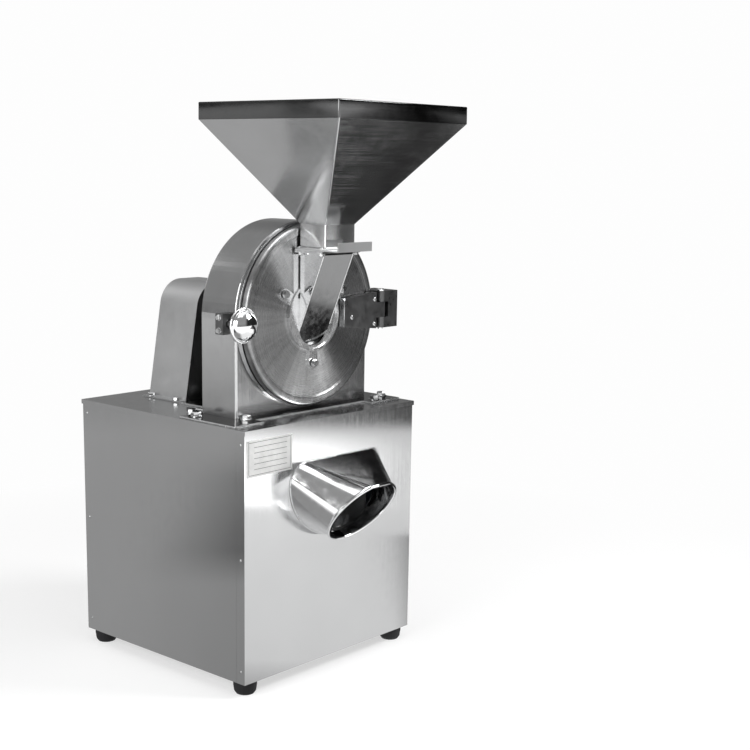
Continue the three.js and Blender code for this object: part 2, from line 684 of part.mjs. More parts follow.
// A dished disc: raised rim, stepped edge, and a spigot that enters the grinding chamber.
function doorDisc() {
  const r = DOOR_RADIUS;
  const face = DOOR_FRONT;
  const rim = face - DOOR.rimRaise;
  const inside = DOOR_BACK - DOOR.shell;
  const edge = [];
  const steps = 3;
  for (let i = steps; i >= 0; i -= 1) {
    const turn = (i / steps) * (Math.PI / 2);
    edge.push([r - DOOR.round * (1 - Math.cos(turn)), rim + DOOR.round * (1 - Math.sin(turn))]);
  }
  const spigot = BORE_RADIUS - DOOR.spigotGap;
  const profile = [[FEED_RADIUS, face], [r - DOOR.rimInner, face],
    [r - DOOR.rimInner + DOOR.rimSlope, rim], ...edge, [r, DOOR.stepY],
    [r - DOOR.step, DOOR.stepY], [r - DOOR.step, DOOR_BACK], [spigot, DOOR_BACK],
    [spigot - 1, DOOR.spigotBack], [spigot - DOOR.spigotWall, DOOR.spigotBack],
    [spigot - DOOR.spigotWall, inside], [FEED_RADIUS, inside], [FEED_RADIUS, face]];
  return turnedY(profile, SEGMENTS.large);
}

const DOOR_TOOTH = { count: 12, ringOuter: 124, ringInner: 76, ringBack: 4, middle: 106 };

// Ring of fixed teeth on the inside of the door.
function doorTeeth() {
  const front = DOOR_BACK - DOOR.shell + GAP;
  const teeth = [
    ringY(DOOR_TOOTH.ringOuter, DOOR_TOOTH.ringInner, [front, DOOR_TOOTH.ringBack])];
  const [long, deep, thick] = [26, 24, 10];
  for (let i = 0; i < DOOR_TOOTH.count; i += 1) {
    const tooth = new THREE.BoxGeometry(long, deep, thick);
    tooth.translate(DOOR_TOOTH.middle, DOOR_TOOTH.ringBack - 2 + deep / 2, 0);
    tooth.rotateY((i / DOOR_TOOTH.count) * 2 * Math.PI);
    teeth.push(solid(tooth));
  }
  return join(...teeth);
}

const CHUTE_BACK = -31.6;
const CHUTE_SILL = 40;           // below it the chute reaches through the door
const CHUTE = { half: 46, top: 144, topFront: -104, turnZ: -20, turnY: -34, wall: 2, back: -8 };
const FLANGE = { half: 60, front: -108, back: -28, thick: 4 };  // joins chute, guide, hopper

const COLLAR = {
  radius: 77, rim: 5, plate: 4, ear: 104, earRadius: 13, arm: 44, strip: 62, stripTop: 136,
};
const COLLAR_BOLTS = [150, 270, 30].map((angle) => THREE.MathUtils.degToRad(angle));

// The chute's U outline, seen from the front.
function chuteU(half, top) {
  const shape = new THREE.Shape();
  shape.moveTo(half, top);
  shape.lineTo(-half, top);
  shape.lineTo(-half, CHUTE.turnZ);
  shape.absarc(0, CHUTE.turnZ, half, Math.PI, 2 * Math.PI, false);
  shape.lineTo(half, top);
  return shape;
}

// A plate round the chute with a raised rim, three bolted ears and an upright strip.
function feedCollar() {
  const back = DOOR_FRONT - GAP;
  const y = [back - COLLAR.plate, back];
  const parts = [rodY(COLLAR.radius, y, 0, 0, SEGMENTS.large),
    ringY(COLLAR.radius, COLLAR.radius - COLLAR.rim, [CHUTE_BACK + GAP, back], SEGMENTS.large)];
  for (const turn of COLLAR_BOLTS) {
    const x = COLLAR.ear * Math.cos(turn);
    const z = COLLAR.ear * Math.sin(turn);
    const arm = new THREE.BoxGeometry(COLLAR.arm, COLLAR.plate, 2 * COLLAR.earRadius);
    arm.translate(COLLAR.ear - COLLAR.arm / 2, (y[0] + y[1]) / 2, 0);
    arm.rotateY(-turn);
    parts.push(solid(arm), rodY(COLLAR.earRadius, y, x, z, SEGMENTS.small));
  }
  parts.push(box([-COLLAR.strip, COLLAR.strip], y, [0, COLLAR.stripTop]));
  const hole = plateXZ(chuteU(CHUTE.half + GAP, CHUTE_SILL + GAP), [-60, 0]);
  return cut(join(...parts), hole);
}

// The chute's wedge outline, seen from the side.
function chuteWedge(inset, back, top) {
  const slope = (CHUTE.turnY - CHUTE.topFront) / (CHUTE.top - CHUTE.turnZ);
  const frontAt = (z) => CHUTE.turnY - slope * (z - CHUTE.turnZ) + inset;
  const low = CHUTE.turnZ - 60;
  return outline([[frontAt(low), low], [back, low], [back, top], [frontAt(top), top]]);
}

function feedChute() {
  const { half, wall, top, back } = CHUTE;
  const beside = [-half - 24, half + 24];
  const ahead = CHUTE.topFront - 16;
  const outside = plateXZ(chuteU(half, top), [ahead, back])
    .intersect(plateYZ(chuteWedge(0, back, top), beside));
  const inside = plateXZ(chuteU(half - wall, top + PAST), [ahead, back + PAST])
    .intersect(plateYZ(chuteWedge(wall, back + PAST, top + PAST), beside));
  const behind = box(beside, [CHUTE_BACK, 20], [CHUTE_SILL, top + PAST]);
  const flange = box([-FLANGE.half, FLANGE.half], [FLANGE.front, FLANGE.back + 0.4],
    [top - FLANGE.thick, top]);
  const flangeHole = box([wall - half, half - wall], [CHUTE.topFront + wall, CHUTE_BACK - wall],
    [top - 2 * FLANGE.thick, top + PAST]);
  const backWall = box([-half, half], [CHUTE_BACK - wall, CHUTE_BACK], [CHUTE_SILL, top]);
  const shell = join(cut(outside, behind), flange, backWall);
  const kept = box(beside, [CHUTE_BACK - wall, 20], [CHUTE_SILL, top + PAST]);
  return cut(shell, inside.subtract(kept), flangeHole);
}

function gateGuide() {
  const z = [CHUTE.top + GAP, NECK.bottom - GAP];
  const slide = 0.5;
  const outer = box([-FLANGE.half, FLANGE.half], [FLANGE.front, FLANGE.back], z);
  return outer.subtract(box([-GATE.halfX - slide, GATE.halfX + slide],
    [GATE.front - 2, GATE.back + slide], [z[0] - PAST, z[1] + PAST]));
}

function slideGate() {
  const { halfX, thick, z, front, back, handle, lip } = GATE;
  const plate = box([-halfX, halfX], [front, back], [z, z + thick]);
  return join(plate, box([-halfX, halfX], [front, front + lip], [z, z + handle]));
}

function frustumRings(inset) {
  const square = (halfX, halfY, y, z) => [[-1, -1], [1, -1], [1, 1], [-1, 1]]
    .map(([sx, sy]) => new THREE.Vector3(sx * (halfX - inset), y + sy * (halfY - inset), z));
  return {
    neckBottom: square(NECK.halfX, NECK.halfY, NECK.y, NECK.bottom),
    neckTop: square(NECK.halfX, NECK.halfY, NECK.y, NECK.top),
    rimBottom: square(RIM.half, RIM.half, RIM.y, RIM.bottom),
    rimTop: square(RIM.half, RIM.half, RIM.y, RIM.top),
  };
}

function hopper() {
  const out = frustumRings(0);
  const into = frustumRings(HOPPER_WALL);
  const skin = loft([out.neckBottom, out.neckTop, out.rimBottom, out.rimTop,
    into.rimTop, into.rimBottom, into.neckTop, into.neckBottom]);
  const flange = box([-FLANGE.half, FLANGE.half], [FLANGE.front, FLANGE.back],
    [NECK.bottom, NECK.bottom + 3]);
  const mouth = box([HOPPER_WALL - NECK.halfX, NECK.halfX - HOPPER_WALL],
    [NECK.y - NECK.halfY + HOPPER_WALL, NECK.y + NECK.halfY - HOPPER_WALL],
    [NECK.bottom - PAST, NECK.bottom + 8]);
  return join(skin, flange.subtract(mouth));
}

const LEAF = { left: 86, right: PIN.x - 26, slope: 110, padLeft: 92, padRight: 170, thick: 11 };
const KNUCKLE_RADIUS = 11;

function hingeLeaf() {
  const y = [PIN.y - LEAF.thick, DOOR_FRONT - DOOR.rimRaise - GAP];
  const tall = HINGE_HALF_HEIGHT;
  const { left, right, slope } = LEAF;
  const plate = plateXZ(outline([[left, -31], [right, -tall], [right, tall - 1],
    [right - 20, tall - 1], [slope, 34], [left, 33]]), y);
  const pad = box([LEAF.padLeft, LEAF.padRight], [y[1] - 1, DOOR_FRONT - GAP], [-28, 30]);
  const tongue = box([right - 5, PIN.x], y, [-HINGE_TONGUE, HINGE_TONGUE]);
  const knuckle = rodZ(KNUCKLE_RADIUS, [-HINGE_TONGUE, HINGE_TONGUE], PIN.x, PIN.y);
  const hole = rodZ(runningBore(PIN.radius), [-tall - PAST, tall + PAST], PIN.x, PIN.y,
    SEGMENTS.fit);
  return cut(join(plate, pad, tongue, knuckle), hole);
}

const BRACKET = { right: 267, back: 30, front: -16, beside: PIN.x + 15, play: 0.6 };

// A block on the housing's side that wraps round the leaf's tongue with two pairs of knuckles.
function hingeBracket() {
  const x0 = ARCH_RADIUS + GAP;
  const tall = HINGE_HALF_HEIGHT;
  const { right, back, front, beside, play } = BRACKET;
  const face = front + 1;
  const nose = PIN.y - LEAF.thick;
  const block = join(box([x0, right], [front, back], [-tall, tall]),
    box([beside, right], [nose, face], [-tall, tall]));
  const arms = [];
  for (const side of [-1, 1]) {
    const z = [side * (HINGE_TONGUE + play), side * tall].sort((a, b) => a - b);
    arms.push(box([PIN.x, beside + 1], [nose, face], z));
    arms.push(box([PIN.x - 9, PIN.x + 5], [PIN.y, face], z));
    arms.push(rodZ(KNUCKLE_RADIUS, z, PIN.x, PIN.y));
  }
  const hole = rodZ(PIN.radius + GAP, [-tall - PAST, tall + PAST], PIN.x, PIN.y);
  const relief = box([x0 - PAST, beside], [nose - PAST, face],
    [-HINGE_TONGUE - play, HINGE_TONGUE + play]);
  return cut(join(block, ...arms), hole, relief);
}

function hingePin() {
  const top = HINGE_HALF_HEIGHT + GAP;
  const [head, crown, below] = [9, 7, 3];
  return turnedZ([[0, -top - below], [PIN.radius, -top - below], [PIN.radius, top],
    [head, top], [head, top + 3], [crown, top + 5], [0, top + 5]],
  SEGMENTS.fit, PIN.x, PIN.y);
}

const LUG = { y0: -34, y1: -26.3 };
const WASHER = { y0: -37, y1: LUG.y0 - GAP };
const KNOB_BACK = WASHER.y0 - GAP;
const KNOB_DOME = 22;
const KNOB_BORE = 14;
const LATCH_HOLE = 9.5;
const LATCH_PLATE = { halfLug: 18, halfBlock: 22, left: 19, right: 41, front: 2, back: 24 };

const latchHole = (y) => rodY(LATCH_HOLE, y, LATCH.x, LATCH.z, SEGMENTS.small);

function latchLug() {
  const half = LATCH_PLATE.halfLug;
  const [low, high, out] = [LATCH.z - half, LATCH.z + half, LATCH.x - LATCH_PLATE.left];
  const right = LATCH.x + LATCH_PLATE.right;
  const shape = outline([[right, low], [out + 7, low], [out, low + 10], [out, high - 10],
    [out + 7, high], [right, high]]);
  return plateXZ(shape, [LUG.y0, LUG.y1]).subtract(latchHole([LUG.y0 - PAST, 0]));
}

function latchBlock() {
  const { halfBlock, left, front, back } = LATCH_PLATE;
  const block = box([LATCH.x - left, -ARCH_RADIUS - GAP], [front, back],
    [LATCH.z - halfBlock, LATCH.z + halfBlock]);
  return block.subtract(latchHole([front - PAST, back + PAST]));
}

// A domed knob with a blind bore for the screw's end.
function latchKnob() {
  const r = LATCH.knobRadius;
  const bore = LATCH.screwRadius + GAP;
  const profile = [[bore, KNOB_BACK], [r - 5, KNOB_BACK], [r, KNOB_BACK - 5]];
  const steps = 5;
  for (let i = 0; i <= steps; i += 1) {
    const turn = (i / steps) * (Math.PI / 2);
    const radius = i === steps ? 0 : r * Math.cos(turn);
    profile.push([radius, KNOB_BACK - 6 - KNOB_DOME * Math.sin(turn)]);
  }
  profile.push([0, KNOB_BACK - KNOB_BORE], [bore, KNOB_BACK - KNOB_BORE], [bore, KNOB_BACK]);
  return turnedY(profile, SEGMENTS.round, LATCH.x, LATCH.z);
}

const latchScrew = () => rodY(LATCH.screwRadius, [KNOB_BACK - KNOB_BORE + GAP, 20],
  LATCH.x, LATCH.z, SEGMENTS.fit);
const latchWasher = () => ringY(17, runningBore(LATCH.screwRadius), [WASHER.y0, WASHER.y1],
  SEGMENTS.fit, LATCH.x, LATCH.z);

node(mill, 'door_disc', doorDisc(), 'turned');
node(mill, 'door_teeth', doorTeeth(), 'toolSteel');
node(mill, 'feed_collar', feedCollar(), 'polished');
node(mill, 'feed_chute', feedChute(), 'polished');
node(mill, 'gate_guide', gateGuide(), 'brushed');
node(mill, 'slide_gate', slideGate(), 'brushed');
node(mill, 'hopper', hopper(), 'brushed');
node(mill, 'hinge_leaf', hingeLeaf(), 'castIron');
node(mill, 'hinge_bracket', hingeBracket(), 'castIron');
node(mill, 'hinge_pin', hingePin(), 'chrome');
node(mill, 'latch_lug', latchLug(), 'castIron');
node(mill, 'latch_block', latchBlock(), 'castIron');
node(mill, 'latch_washer', latchWasher(), 'chrome');
node(mill, 'latch_screw', latchScrew(), 'toolSteel');
node(mill, 'latch_knob', latchKnob(), 'chrome');

// ---- Motor and belts ----------------------------------------------------------------------

const FIN = { count: 16, depth: 9 };
const SHIELD = { radius: 88, lip: 44 };
const MOTOR_FEET = { outer: 105, inner: 55, low: -112, high: -70 };

// A ribbed barrel between two end shields, on two feet.
function motorBody() {
  const { front, back, radius: tip } = MOTOR;
  const root = tip - FIN.depth;
  const points = [];
  for (let i = 0; i < FIN.count; i += 1) {
    for (const [share, radius] of [[0.3, root], [0.38, tip], [0.62, tip], [0.7, root]]) {
      const turn = ((i + share) / FIN.count) * 2 * Math.PI;
      points.push([radius * Math.cos(turn), radius * Math.sin(turn)]);
    }
  }
  const ribbed = plateXZ(outline(points), [front + 50, back - 30]);
  const shields = [rodY(SHIELD.radius, [front + 34, front + 52]),
    rodY(SHIELD.radius, [back - 32, back - 8]), rodY(SHIELD.lip, [back - 10, back])];
  const feet = [-1, 1].map((side) => box(
    [side * MOTOR_FEET.outer, side * MOTOR_FEET.inner].sort((a, b) => a - b),
    [front + 60, back - 40], [MOTOR_FEET.low + GAP, MOTOR_FEET.high]));
  const bore = rodY(runningBore(MOTOR.shaft), [back - 60, back + PAST], 0, 0, SEGMENTS.fit);
  return cut(join(ribbed, ...shields, ...feet), bore);
}

const COVER = { radius: 93, sheet: 2.5, chamfer: 7, hole: 30, long: 49 };

// The cover over the motor's fan: a cup with a round air inlet in front.
function motorFanCover() {
  const { radius, sheet, chamfer, hole, long } = COVER;
  const { front } = MOTOR;
  const inner = radius - sheet;
  const profile = [[hole, front], [radius - chamfer, front], [radius, front + chamfer + 1],
    [radius, front + long], [inner, front + long], [inner, front + chamfer + 2],
    [radius - chamfer - 2, front + 2], [hole, front + 2], [hole, front]];
  return turnedY(profile);
}

const TERMINAL_BOX = { half: 46, tall: 45 };
const terminalBox = () => box([-TERMINAL_BOX.half, TERMINAL_BOX.half],
  [MOTOR.front + 90, MOTOR.back - 60], [MOTOR.radius + GAP, MOTOR.radius + TERMINAL_BOX.tall]);

const SLIDE = { half: 130, slotX: 80, slotHalf: 25, slotHigh: 6 };

// The plate under the motor, slotted so that the belts can be tightened.
function motorSlideBase() {
  const low = FOOT_HEIGHT + MOTOR_RAIL.height + GAP - MOTOR_HEIGHT;
  const high = MOTOR_FEET.low;
  const plate = box([-SLIDE.half, SLIDE.half], [MOTOR_RAIL.front - 20, MOTOR_RAIL.back + 30],
    [low, high]);
  const slots = [-SLIDE.slotX, SLIDE.slotX].flatMap((x) => [MOTOR_RAIL.front, MOTOR_RAIL.back]
    .map((y) => box([x - SLIDE.slotHalf, x + SLIDE.slotHalf],
      [y - SLIDE.slotHigh, y + SLIDE.slotHigh], [low - PAST, high + PAST])));
  return cut(plate, ...slots);
}

const motorShaft = () => rodY(MOTOR.shaft, [MOTOR.back - 55, 160], 0, 0, SEGMENTS.fit);

// One V belt: the open loop round both pulleys, in the plane of its grooves.
function beltLoop(offset) {
  const span = SPINDLE_HEIGHT - MOTOR_HEIGHT;
  const small = SPINDLE_PULLEY_RADIUS - GROOVE.depth + offset;
  const large = MOTOR_PULLEY_RADIUS - GROOVE.depth + offset;
  const lean = Math.asin((large - small) / span);
  const shape = new THREE.Shape();
  shape.absarc(0, 0, large, Math.PI - lean, 2 * Math.PI + lean, false);
  shape.absarc(0, span, small, lean, Math.PI - lean, false);
  return shape;
}

const BELT = { thick: 8, half: 3.6 };

function vBelt(side) {
  const y = HOUSING_FRONT_Y + BELT_Y + (side * BELT_PITCH) / 2;
  return cut(plateXZ(beltLoop(BELT.thick), [y - BELT.half, y + BELT.half], 12),
    plateXZ(beltLoop(GAP), [y - BELT.half - PAST, y + BELT.half + PAST], 12));
}

const motorPulley = () => pulley(MOTOR_PULLEY_RADIUS, MOTOR.shaft,
  HOUSING_FRONT_Y + BELT_Y - PULLEY_WIDTH / 2);

node(drive, 'motor_body', motorBody(), 'paint');
node(drive, 'motor_fan_cover', motorFanCover(), 'paint');
node(drive, 'motor_terminal_box', terminalBox(), 'paint');
node(drive, 'motor_slide_base', motorSlideBase(), 'castIron');
node(drive, 'motor_shaft', motorShaft(), 'toolSteel');
node(drive, 'motor_pulley', motorPulley(), 'castIron');
node(drive, 'v_belt_front', vBelt(-1), 'rubber');
node(drive, 'v_belt_rear', vBelt(1), 'rubber');

export default machine;
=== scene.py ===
import math

import bmesh
import bpy
from mathutils import Matrix, Vector


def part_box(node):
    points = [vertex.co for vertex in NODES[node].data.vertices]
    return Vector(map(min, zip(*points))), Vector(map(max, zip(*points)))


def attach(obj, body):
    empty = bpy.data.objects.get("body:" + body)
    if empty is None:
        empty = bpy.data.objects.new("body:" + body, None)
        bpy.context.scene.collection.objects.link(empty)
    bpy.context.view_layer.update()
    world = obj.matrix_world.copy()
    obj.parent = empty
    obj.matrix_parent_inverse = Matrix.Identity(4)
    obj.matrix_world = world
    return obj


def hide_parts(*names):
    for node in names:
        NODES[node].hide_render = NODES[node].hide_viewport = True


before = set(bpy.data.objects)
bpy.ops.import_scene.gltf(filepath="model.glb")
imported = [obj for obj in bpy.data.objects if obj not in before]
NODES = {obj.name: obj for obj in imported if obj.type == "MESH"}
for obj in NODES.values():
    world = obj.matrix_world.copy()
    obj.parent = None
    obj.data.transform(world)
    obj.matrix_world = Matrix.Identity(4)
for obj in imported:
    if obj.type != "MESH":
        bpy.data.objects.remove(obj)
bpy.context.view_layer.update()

MM = 0.001

# ---- Places taken from the frame ------------------------------------------------------------

spindle_low, spindle_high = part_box("spindle")
SPINDLE = (spindle_low + spindle_high) / 2
HOUSING_DEPTH = 109 * MM
HOUSING_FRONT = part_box("mill_housing")[1].y - HOUSING_DEPTH
BASE_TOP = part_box("mill_base")[1].z
CABINET_LOW, CABINET_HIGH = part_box("front_panel")
LID_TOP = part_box("top_plate")[1].z


def mill(x, y, z):
    """Millimetres from the spindle's axis and the housing's front face, as a place in the frame."""
    return Vector((x * MM, HOUSING_FRONT + y * MM, SPINDLE.z + z * MM))


# ---- Camera ---------------------------------------------------------------------------------

CAMERA_PLACE = Vector((-2.150, -2.162, 1.120))
CAMERA_YAW = math.radians(41.21)
CAMERA_PITCH = math.radians(11.23)
CAMERA_ROLL = math.radians(0.93)
CAMERA_LENS = 65.1
CAMERA_SENSOR = 36
CAMERA_SHIFT = (0.0115, 0.078)


def make_camera():
    data = bpy.data.cameras.new("camera")
    data.lens = CAMERA_LENS
    data.sensor_width = CAMERA_SENSOR
    data.shift_x, data.shift_y = CAMERA_SHIFT
    camera = bpy.data.objects.new("camera", data)
    look = Vector((math.cos(CAMERA_YAW) * math.cos(CAMERA_PITCH),
                   math.sin(CAMERA_YAW) * math.cos(CAMERA_PITCH), -math.sin(CAMERA_PITCH)))
    turn = look.to_track_quat("-Z", "Y") @ Matrix.Rotation(CAMERA_ROLL, 3, "Z").to_quaternion()
    camera.rotation_mode = "QUATERNION"
    camera.rotation_quaternion = turn
    camera.location = CAMERA_PLACE
    bpy.context.scene.collection.objects.link(camera)
    bpy.context.scene.camera = camera


# ---- Materials ------------------------------------------------------------------------------

# The colour sockets of Blender's Mix node, which has a set for each kind of data.
MIX_A, MIX_B, MIX_OUT = 6, 7, 2


class Tree:
    """A short way to write a node tree: each call makes a node and links its inputs."""

    def __init__(self, tree):
        self.tree = tree
        tree.nodes.clear()

    def node(self, kind, inputs=None, **settings):
        made = self.tree.nodes.new(kind)
        for key, value in settings.items():
            setattr(made, key, value)
        for key, value in (inputs or {}).items():
            if isinstance(value, bpy.types.NodeSocket):
                self.tree.links.new(value, made.inputs[key])
            else:
                made.inputs[key].default_value = value
        return made

    def math(self, operation, a, b=0.0):
        return self.node("ShaderNodeMath", {0: a, 1: b}, operation=operation).outputs[0]

    def dot(self, vector, other):
        return self.node("ShaderNodeVectorMath", {0: vector, 1: tuple(other)},
                         operation="DOT_PRODUCT").outputs["Value"]

    def mix(self, factor, a, b):
        """Colour a at factor 0, colour b at factor 1."""
        made = self.node("ShaderNodeMix", {0: factor}, data_type="RGBA")
        for socket, colour in ((made.inputs[MIX_A], a), (made.inputs[MIX_B], b)):
            if isinstance(colour, bpy.types.NodeSocket):
                self.tree.links.new(colour, socket)
            else:
                socket.default_value = (colour, colour, colour, 1)
        return made.outputs[MIX_OUT]

    def mapped(self, source, low, high, to_low, to_high):
        return self.node("ShaderNodeMapRange", {
            "Value": source, "From Min": low, "From Max": high,
            "To Min": to_low, "To Max": to_high}, clamp=True).outputs[0]

    def ramp(self, factor, stops):
        made = self.node("ShaderNodeValToRGB", {"Fac": factor})
        ramp = made.color_ramp
        while len(ramp.elements) < len(stops):
            ramp.elements.new(0.5)
        for element, (place, shade) in zip(ramp.elements, stops):
            element.position = place
            element.color = (shade, shade, shade, 1)
        return made.outputs[0]


# Scale of the grain noise along each axis, for brush lines that run along x, y or z.
GRAIN = {"x": (6, 700, 700), "y": (700, 6, 700), "z": (700, 700, 6), None: (60, 60, 60)}
RING_PITCH = 900.0
GRAIN_HEIGHT = 0.0004
PEBBLE_HEIGHT = 0.0005
RING_CENTRE = (SPINDLE.x, 0.0, SPINDLE.z)
# Painted reflection fans on the turned faces: tone round their axis, from the left, down, right, up
# and back again.
PAINTED_FAN_REFLECTION = [
    (0.00, 0.56), (0.08, 0.50), (0.16, 0.62), (0.20, 0.95), (0.29, 1.0), (0.34, 0.55),
    (0.42, 0.42), (0.52, 0.34), (0.62, 0.36), (0.69, 0.60), (0.75, 1.0), (0.84, 1.0),
    (0.89, 0.80), (0.94, 0.58), (1.00, 0.56)]


def metal(name, shade, rough, grain=None, grain_depth=0.05, aniso=0.0, turn=0.0, tangent="Z",
          smudge=0.10, rings=None, stain=0.10, metallic=1.0, lines=0.93):
    """Bare metal: fine grain lines or turning rings, cloudy smudges in its roughness and tone, and
    with rings a painted reflection fan round the axis.
    """
    material = bpy.data.materials.new(name)
    material.use_nodes = True
    t = Tree(material.node_tree)
    place = t.node("ShaderNodeTexCoord").outputs["Object"]
    cloud = t.node("ShaderNodeTexNoise", {
        "Vector": place, "Scale": 5.0, "Detail": 5.0, "Roughness": 0.6}).outputs["Fac"]
    spots = t.node("ShaderNodeTexNoise", {
        "Vector": place, "Scale": 60.0, "Detail": 3.0, "Roughness": 0.5}).outputs["Fac"]
    if rings:
        centre = t.node("ShaderNodeVectorMath", {0: place, 1: tuple(rings)}, operation="SUBTRACT")
        flat = t.node("ShaderNodeVectorMath", {0: centre.outputs[0], 1: (1, 0, 1)},
                      operation="MULTIPLY")
        radius = t.node("ShaderNodeVectorMath", {0: flat.outputs[0]}, operation="LENGTH")
        line = t.node("ShaderNodeTexNoise", {
            "W": t.math("MULTIPLY", radius.outputs["Value"], RING_PITCH), "Scale": 1.0,
            "Detail": 2.0}, noise_dimensions="1D").outputs["Fac"]
        flat_place = t.node("ShaderNodeSeparateXYZ", {"Vector": flat.outputs[0]})
        around = t.math("ARCTAN2", flat_place.outputs["Z"], flat_place.outputs["X"])
        # Radial streaks times the tone round the axis: a painted highlight fan in the colour, not a
        # finish.
        painted_streak = t.node("ShaderNodeTexNoise", {
            "W": t.math("MULTIPLY", around, 9.0), "Scale": 1.0, "Detail": 5.0,
            "Roughness": 0.7}, noise_dimensions="1D").outputs["Fac"]
        turned = t.mapped(around, -math.pi, math.pi, 0, 1)
        painted_bow = t.ramp(turned, PAINTED_FAN_REFLECTION)
        painted_fans = t.math("MULTIPLY", t.mapped(painted_streak, 0.35, 0.65, 0.78, 1.0), painted_bow)
    else:
        painted_fans = 1.0
        stretched = t.node("ShaderNodeMapping", {"Vector": place, "Scale": GRAIN[grain]})
        line = t.node("ShaderNodeTexNoise", {
            "Vector": stretched.outputs[0], "Scale": 1.0, "Detail": 4.0,
            "Roughness": 0.6}).outputs["Fac"]
    uneven = t.math("ADD", t.mapped(cloud, 0.3, 0.7, -smudge, smudge),
                    t.mapped(line, 0.3, 0.7, -0.05, 0.05))
    roughness = t.math("ADD", t.math("ADD", uneven, rough), t.mapped(spots, 0.4, 0.7, 0, 0.03))
    tone = t.math("MULTIPLY", t.math("MULTIPLY", t.mapped(cloud, 0.25, 0.75, 1 - stain, 1.0),
                                     t.mapped(line, 0.25, 0.75, lines, 1.0)), painted_fans)
    cool = (shade * 0.995, shade, shade * 1.005)
    colour = t.node("ShaderNodeVectorMath", {0: cool, 1: (1, 1, 1)}, operation="MULTIPLY")
    t.tree.links.new(tone, colour.inputs[1])
    bump = t.node("ShaderNodeBump", {"Height": line, "Strength": grain_depth,
                                     "Distance": GRAIN_HEIGHT})
    shader = t.node("ShaderNodeBsdfPrincipled", {
        "Base Color": colour.outputs[0], "Roughness": roughness, "Metallic": metallic,
        "Normal": bump.outputs[0], "Anisotropic": aniso, "Anisotropic Rotation": turn})
    if aniso:
        direction = t.node("ShaderNodeTangent", direction_type="RADIAL", axis=tangent)
        t.tree.links.new(direction.outputs[0], shader.inputs["Tangent"])
    t.node("ShaderNodeOutputMaterial", {"Surface": shader.outputs[0]})
    return material


def coated(name, colour, rough, grain_scale=400.0, depth=0.15, metallic=0.0):
    """Paint, rubber or cast surface: a pebbled bump with worn, lighter patches."""
    material = bpy.data.materials.new(name)
    material.use_nodes = True
    t = Tree(material.node_tree)
    place = t.node("ShaderNodeTexCoord").outputs["Object"]
    pebble = t.node("ShaderNodeTexNoise", {
        "Vector": place, "Scale": grain_scale, "Detail": 3.0}).outputs["Fac"]
    cloud = t.node("ShaderNodeTexNoise", {
        "Vector": place, "Scale": 14.0, "Detail": 5.0, "Roughness": 0.65}).outputs["Fac"]
    tone = t.mapped(cloud, 0.3, 0.75, 0.8, 1.25)
    shade = t.node("ShaderNodeVectorMath", {0: colour, 1: (1, 1, 1)}, operation="MULTIPLY")
    t.tree.links.new(tone, shade.inputs[1])
    bump = t.node("ShaderNodeBump", {"Height": pebble, "Strength": depth,
                                     "Distance": PEBBLE_HEIGHT})
    shader = t.node("ShaderNodeBsdfPrincipled", {
        "Base Color": shade.outputs[0], "Metallic": metallic, "Normal": bump.outputs[0],
        "Roughness": t.mapped(cloud, 0.3, 0.7, rough - 0.1, rough + 0.1)})
    t.node("ShaderNodeOutputMaterial", {"Surface": shader.outputs[0]})
    return material


LOOKS = {
    "panel": metal("panel_steel", 0.66, 0.11, "z", 0.02, aniso=0.92, smudge=0.02, stain=0.05,
                   metallic=0.93, lines=0.97),
    "lid": metal("lid_steel", 0.46, 0.20, "x", 0.04, smudge=0.05),
    # The base plate's steel is made near black: a painted dark reflection.
    "base": metal("base_steel_painted_dark", 0.075, 0.16, "x", 0.03, smudge=0.05),
    # Near-black steel for the spout's flat top: a painted dark reflection.
    "shade": metal("steel_painted_dark_reflection", 0.06, 0.10, None, 0.02, smudge=0.03, stain=0.10),
    "hopper": metal("hopper_steel", 0.84, 0.15, "x", 0.03, aniso=0.3, turn=0.25, smudge=0.04,
                    stain=0.10, metallic=0.96),
    # Dark steel for the hopper's rolled lip: a painted dark reflection on the same sheet.
    "lip": metal("lip_steel_painted_dark", 0.15, 0.12, "x", 0.03, stain=0.35),
    "guard": metal("guard_steel", 0.66, 0.36, "z", 0.05, smudge=0.06, metallic=0.9),
    "housing": metal("housing_steel", 0.60, 0.16, "z", 0.03, smudge=0.05, stain=0.18,
                     metallic=0.95, lines=0.96),
    "polished": metal("polished_steel", 0.86, 0.09, None, 0.02, smudge=0.03, stain=0.06),
    # The door steel carries the painted reflection fans round the door's axis.
    "door": metal("door_steel", 0.66, 0.27, rings=RING_CENTRE, grain_depth=0.04, aniso=0.88,
                  turn=0.25, tangent="Y", smudge=0.04, stain=0.20, lines=0.96),
    "trim": metal("trim_steel", 0.84, 0.20, None, 0.03, smudge=0.04, stain=0.08, metallic=0.86),
    # Dark steel for the chute's front face: a painted dark reflection.
    "chute": metal("chute_front_painted_dark", 0.34, 0.12, None, 0.02, smudge=0.03, stain=0.15),
    "chrome": metal("bright_chrome", 0.86, 0.06, None, 0.01, smudge=0.03, stain=0.03),
    "bolt": metal("bolt_steel", 0.70, 0.20, None, 0.05, smudge=0.08, stain=0.2),
    "tool": metal("tool_steel", 0.42, 0.32, "y", 0.08, smudge=0.08, stain=0.2),
    "cast": metal("cast_dark", 0.20, 0.34, None, 0.25, smudge=0.10, stain=0.4),
    "paint": coated("motor_enamel", (0.06, 0.10, 0.14), 0.42, 260.0, 0.10),
    "rubber": coated("black_rubber", (0.018, 0.018, 0.020), 0.65, 500.0, 0.25),
    "ink": coated("plate_ink", (0.16, 0.16, 0.16), 0.5),
    "label": coated("label_enamel", (0.88, 0.88, 0.87), 0.40, 300.0, 0.03, metallic=0.5),
}


# ---- Mesh helpers ---------------------------------------------------------------------------

def paint(obj, look):
    obj.data.materials.clear()
    obj.data.materials.append(LOOKS[look])


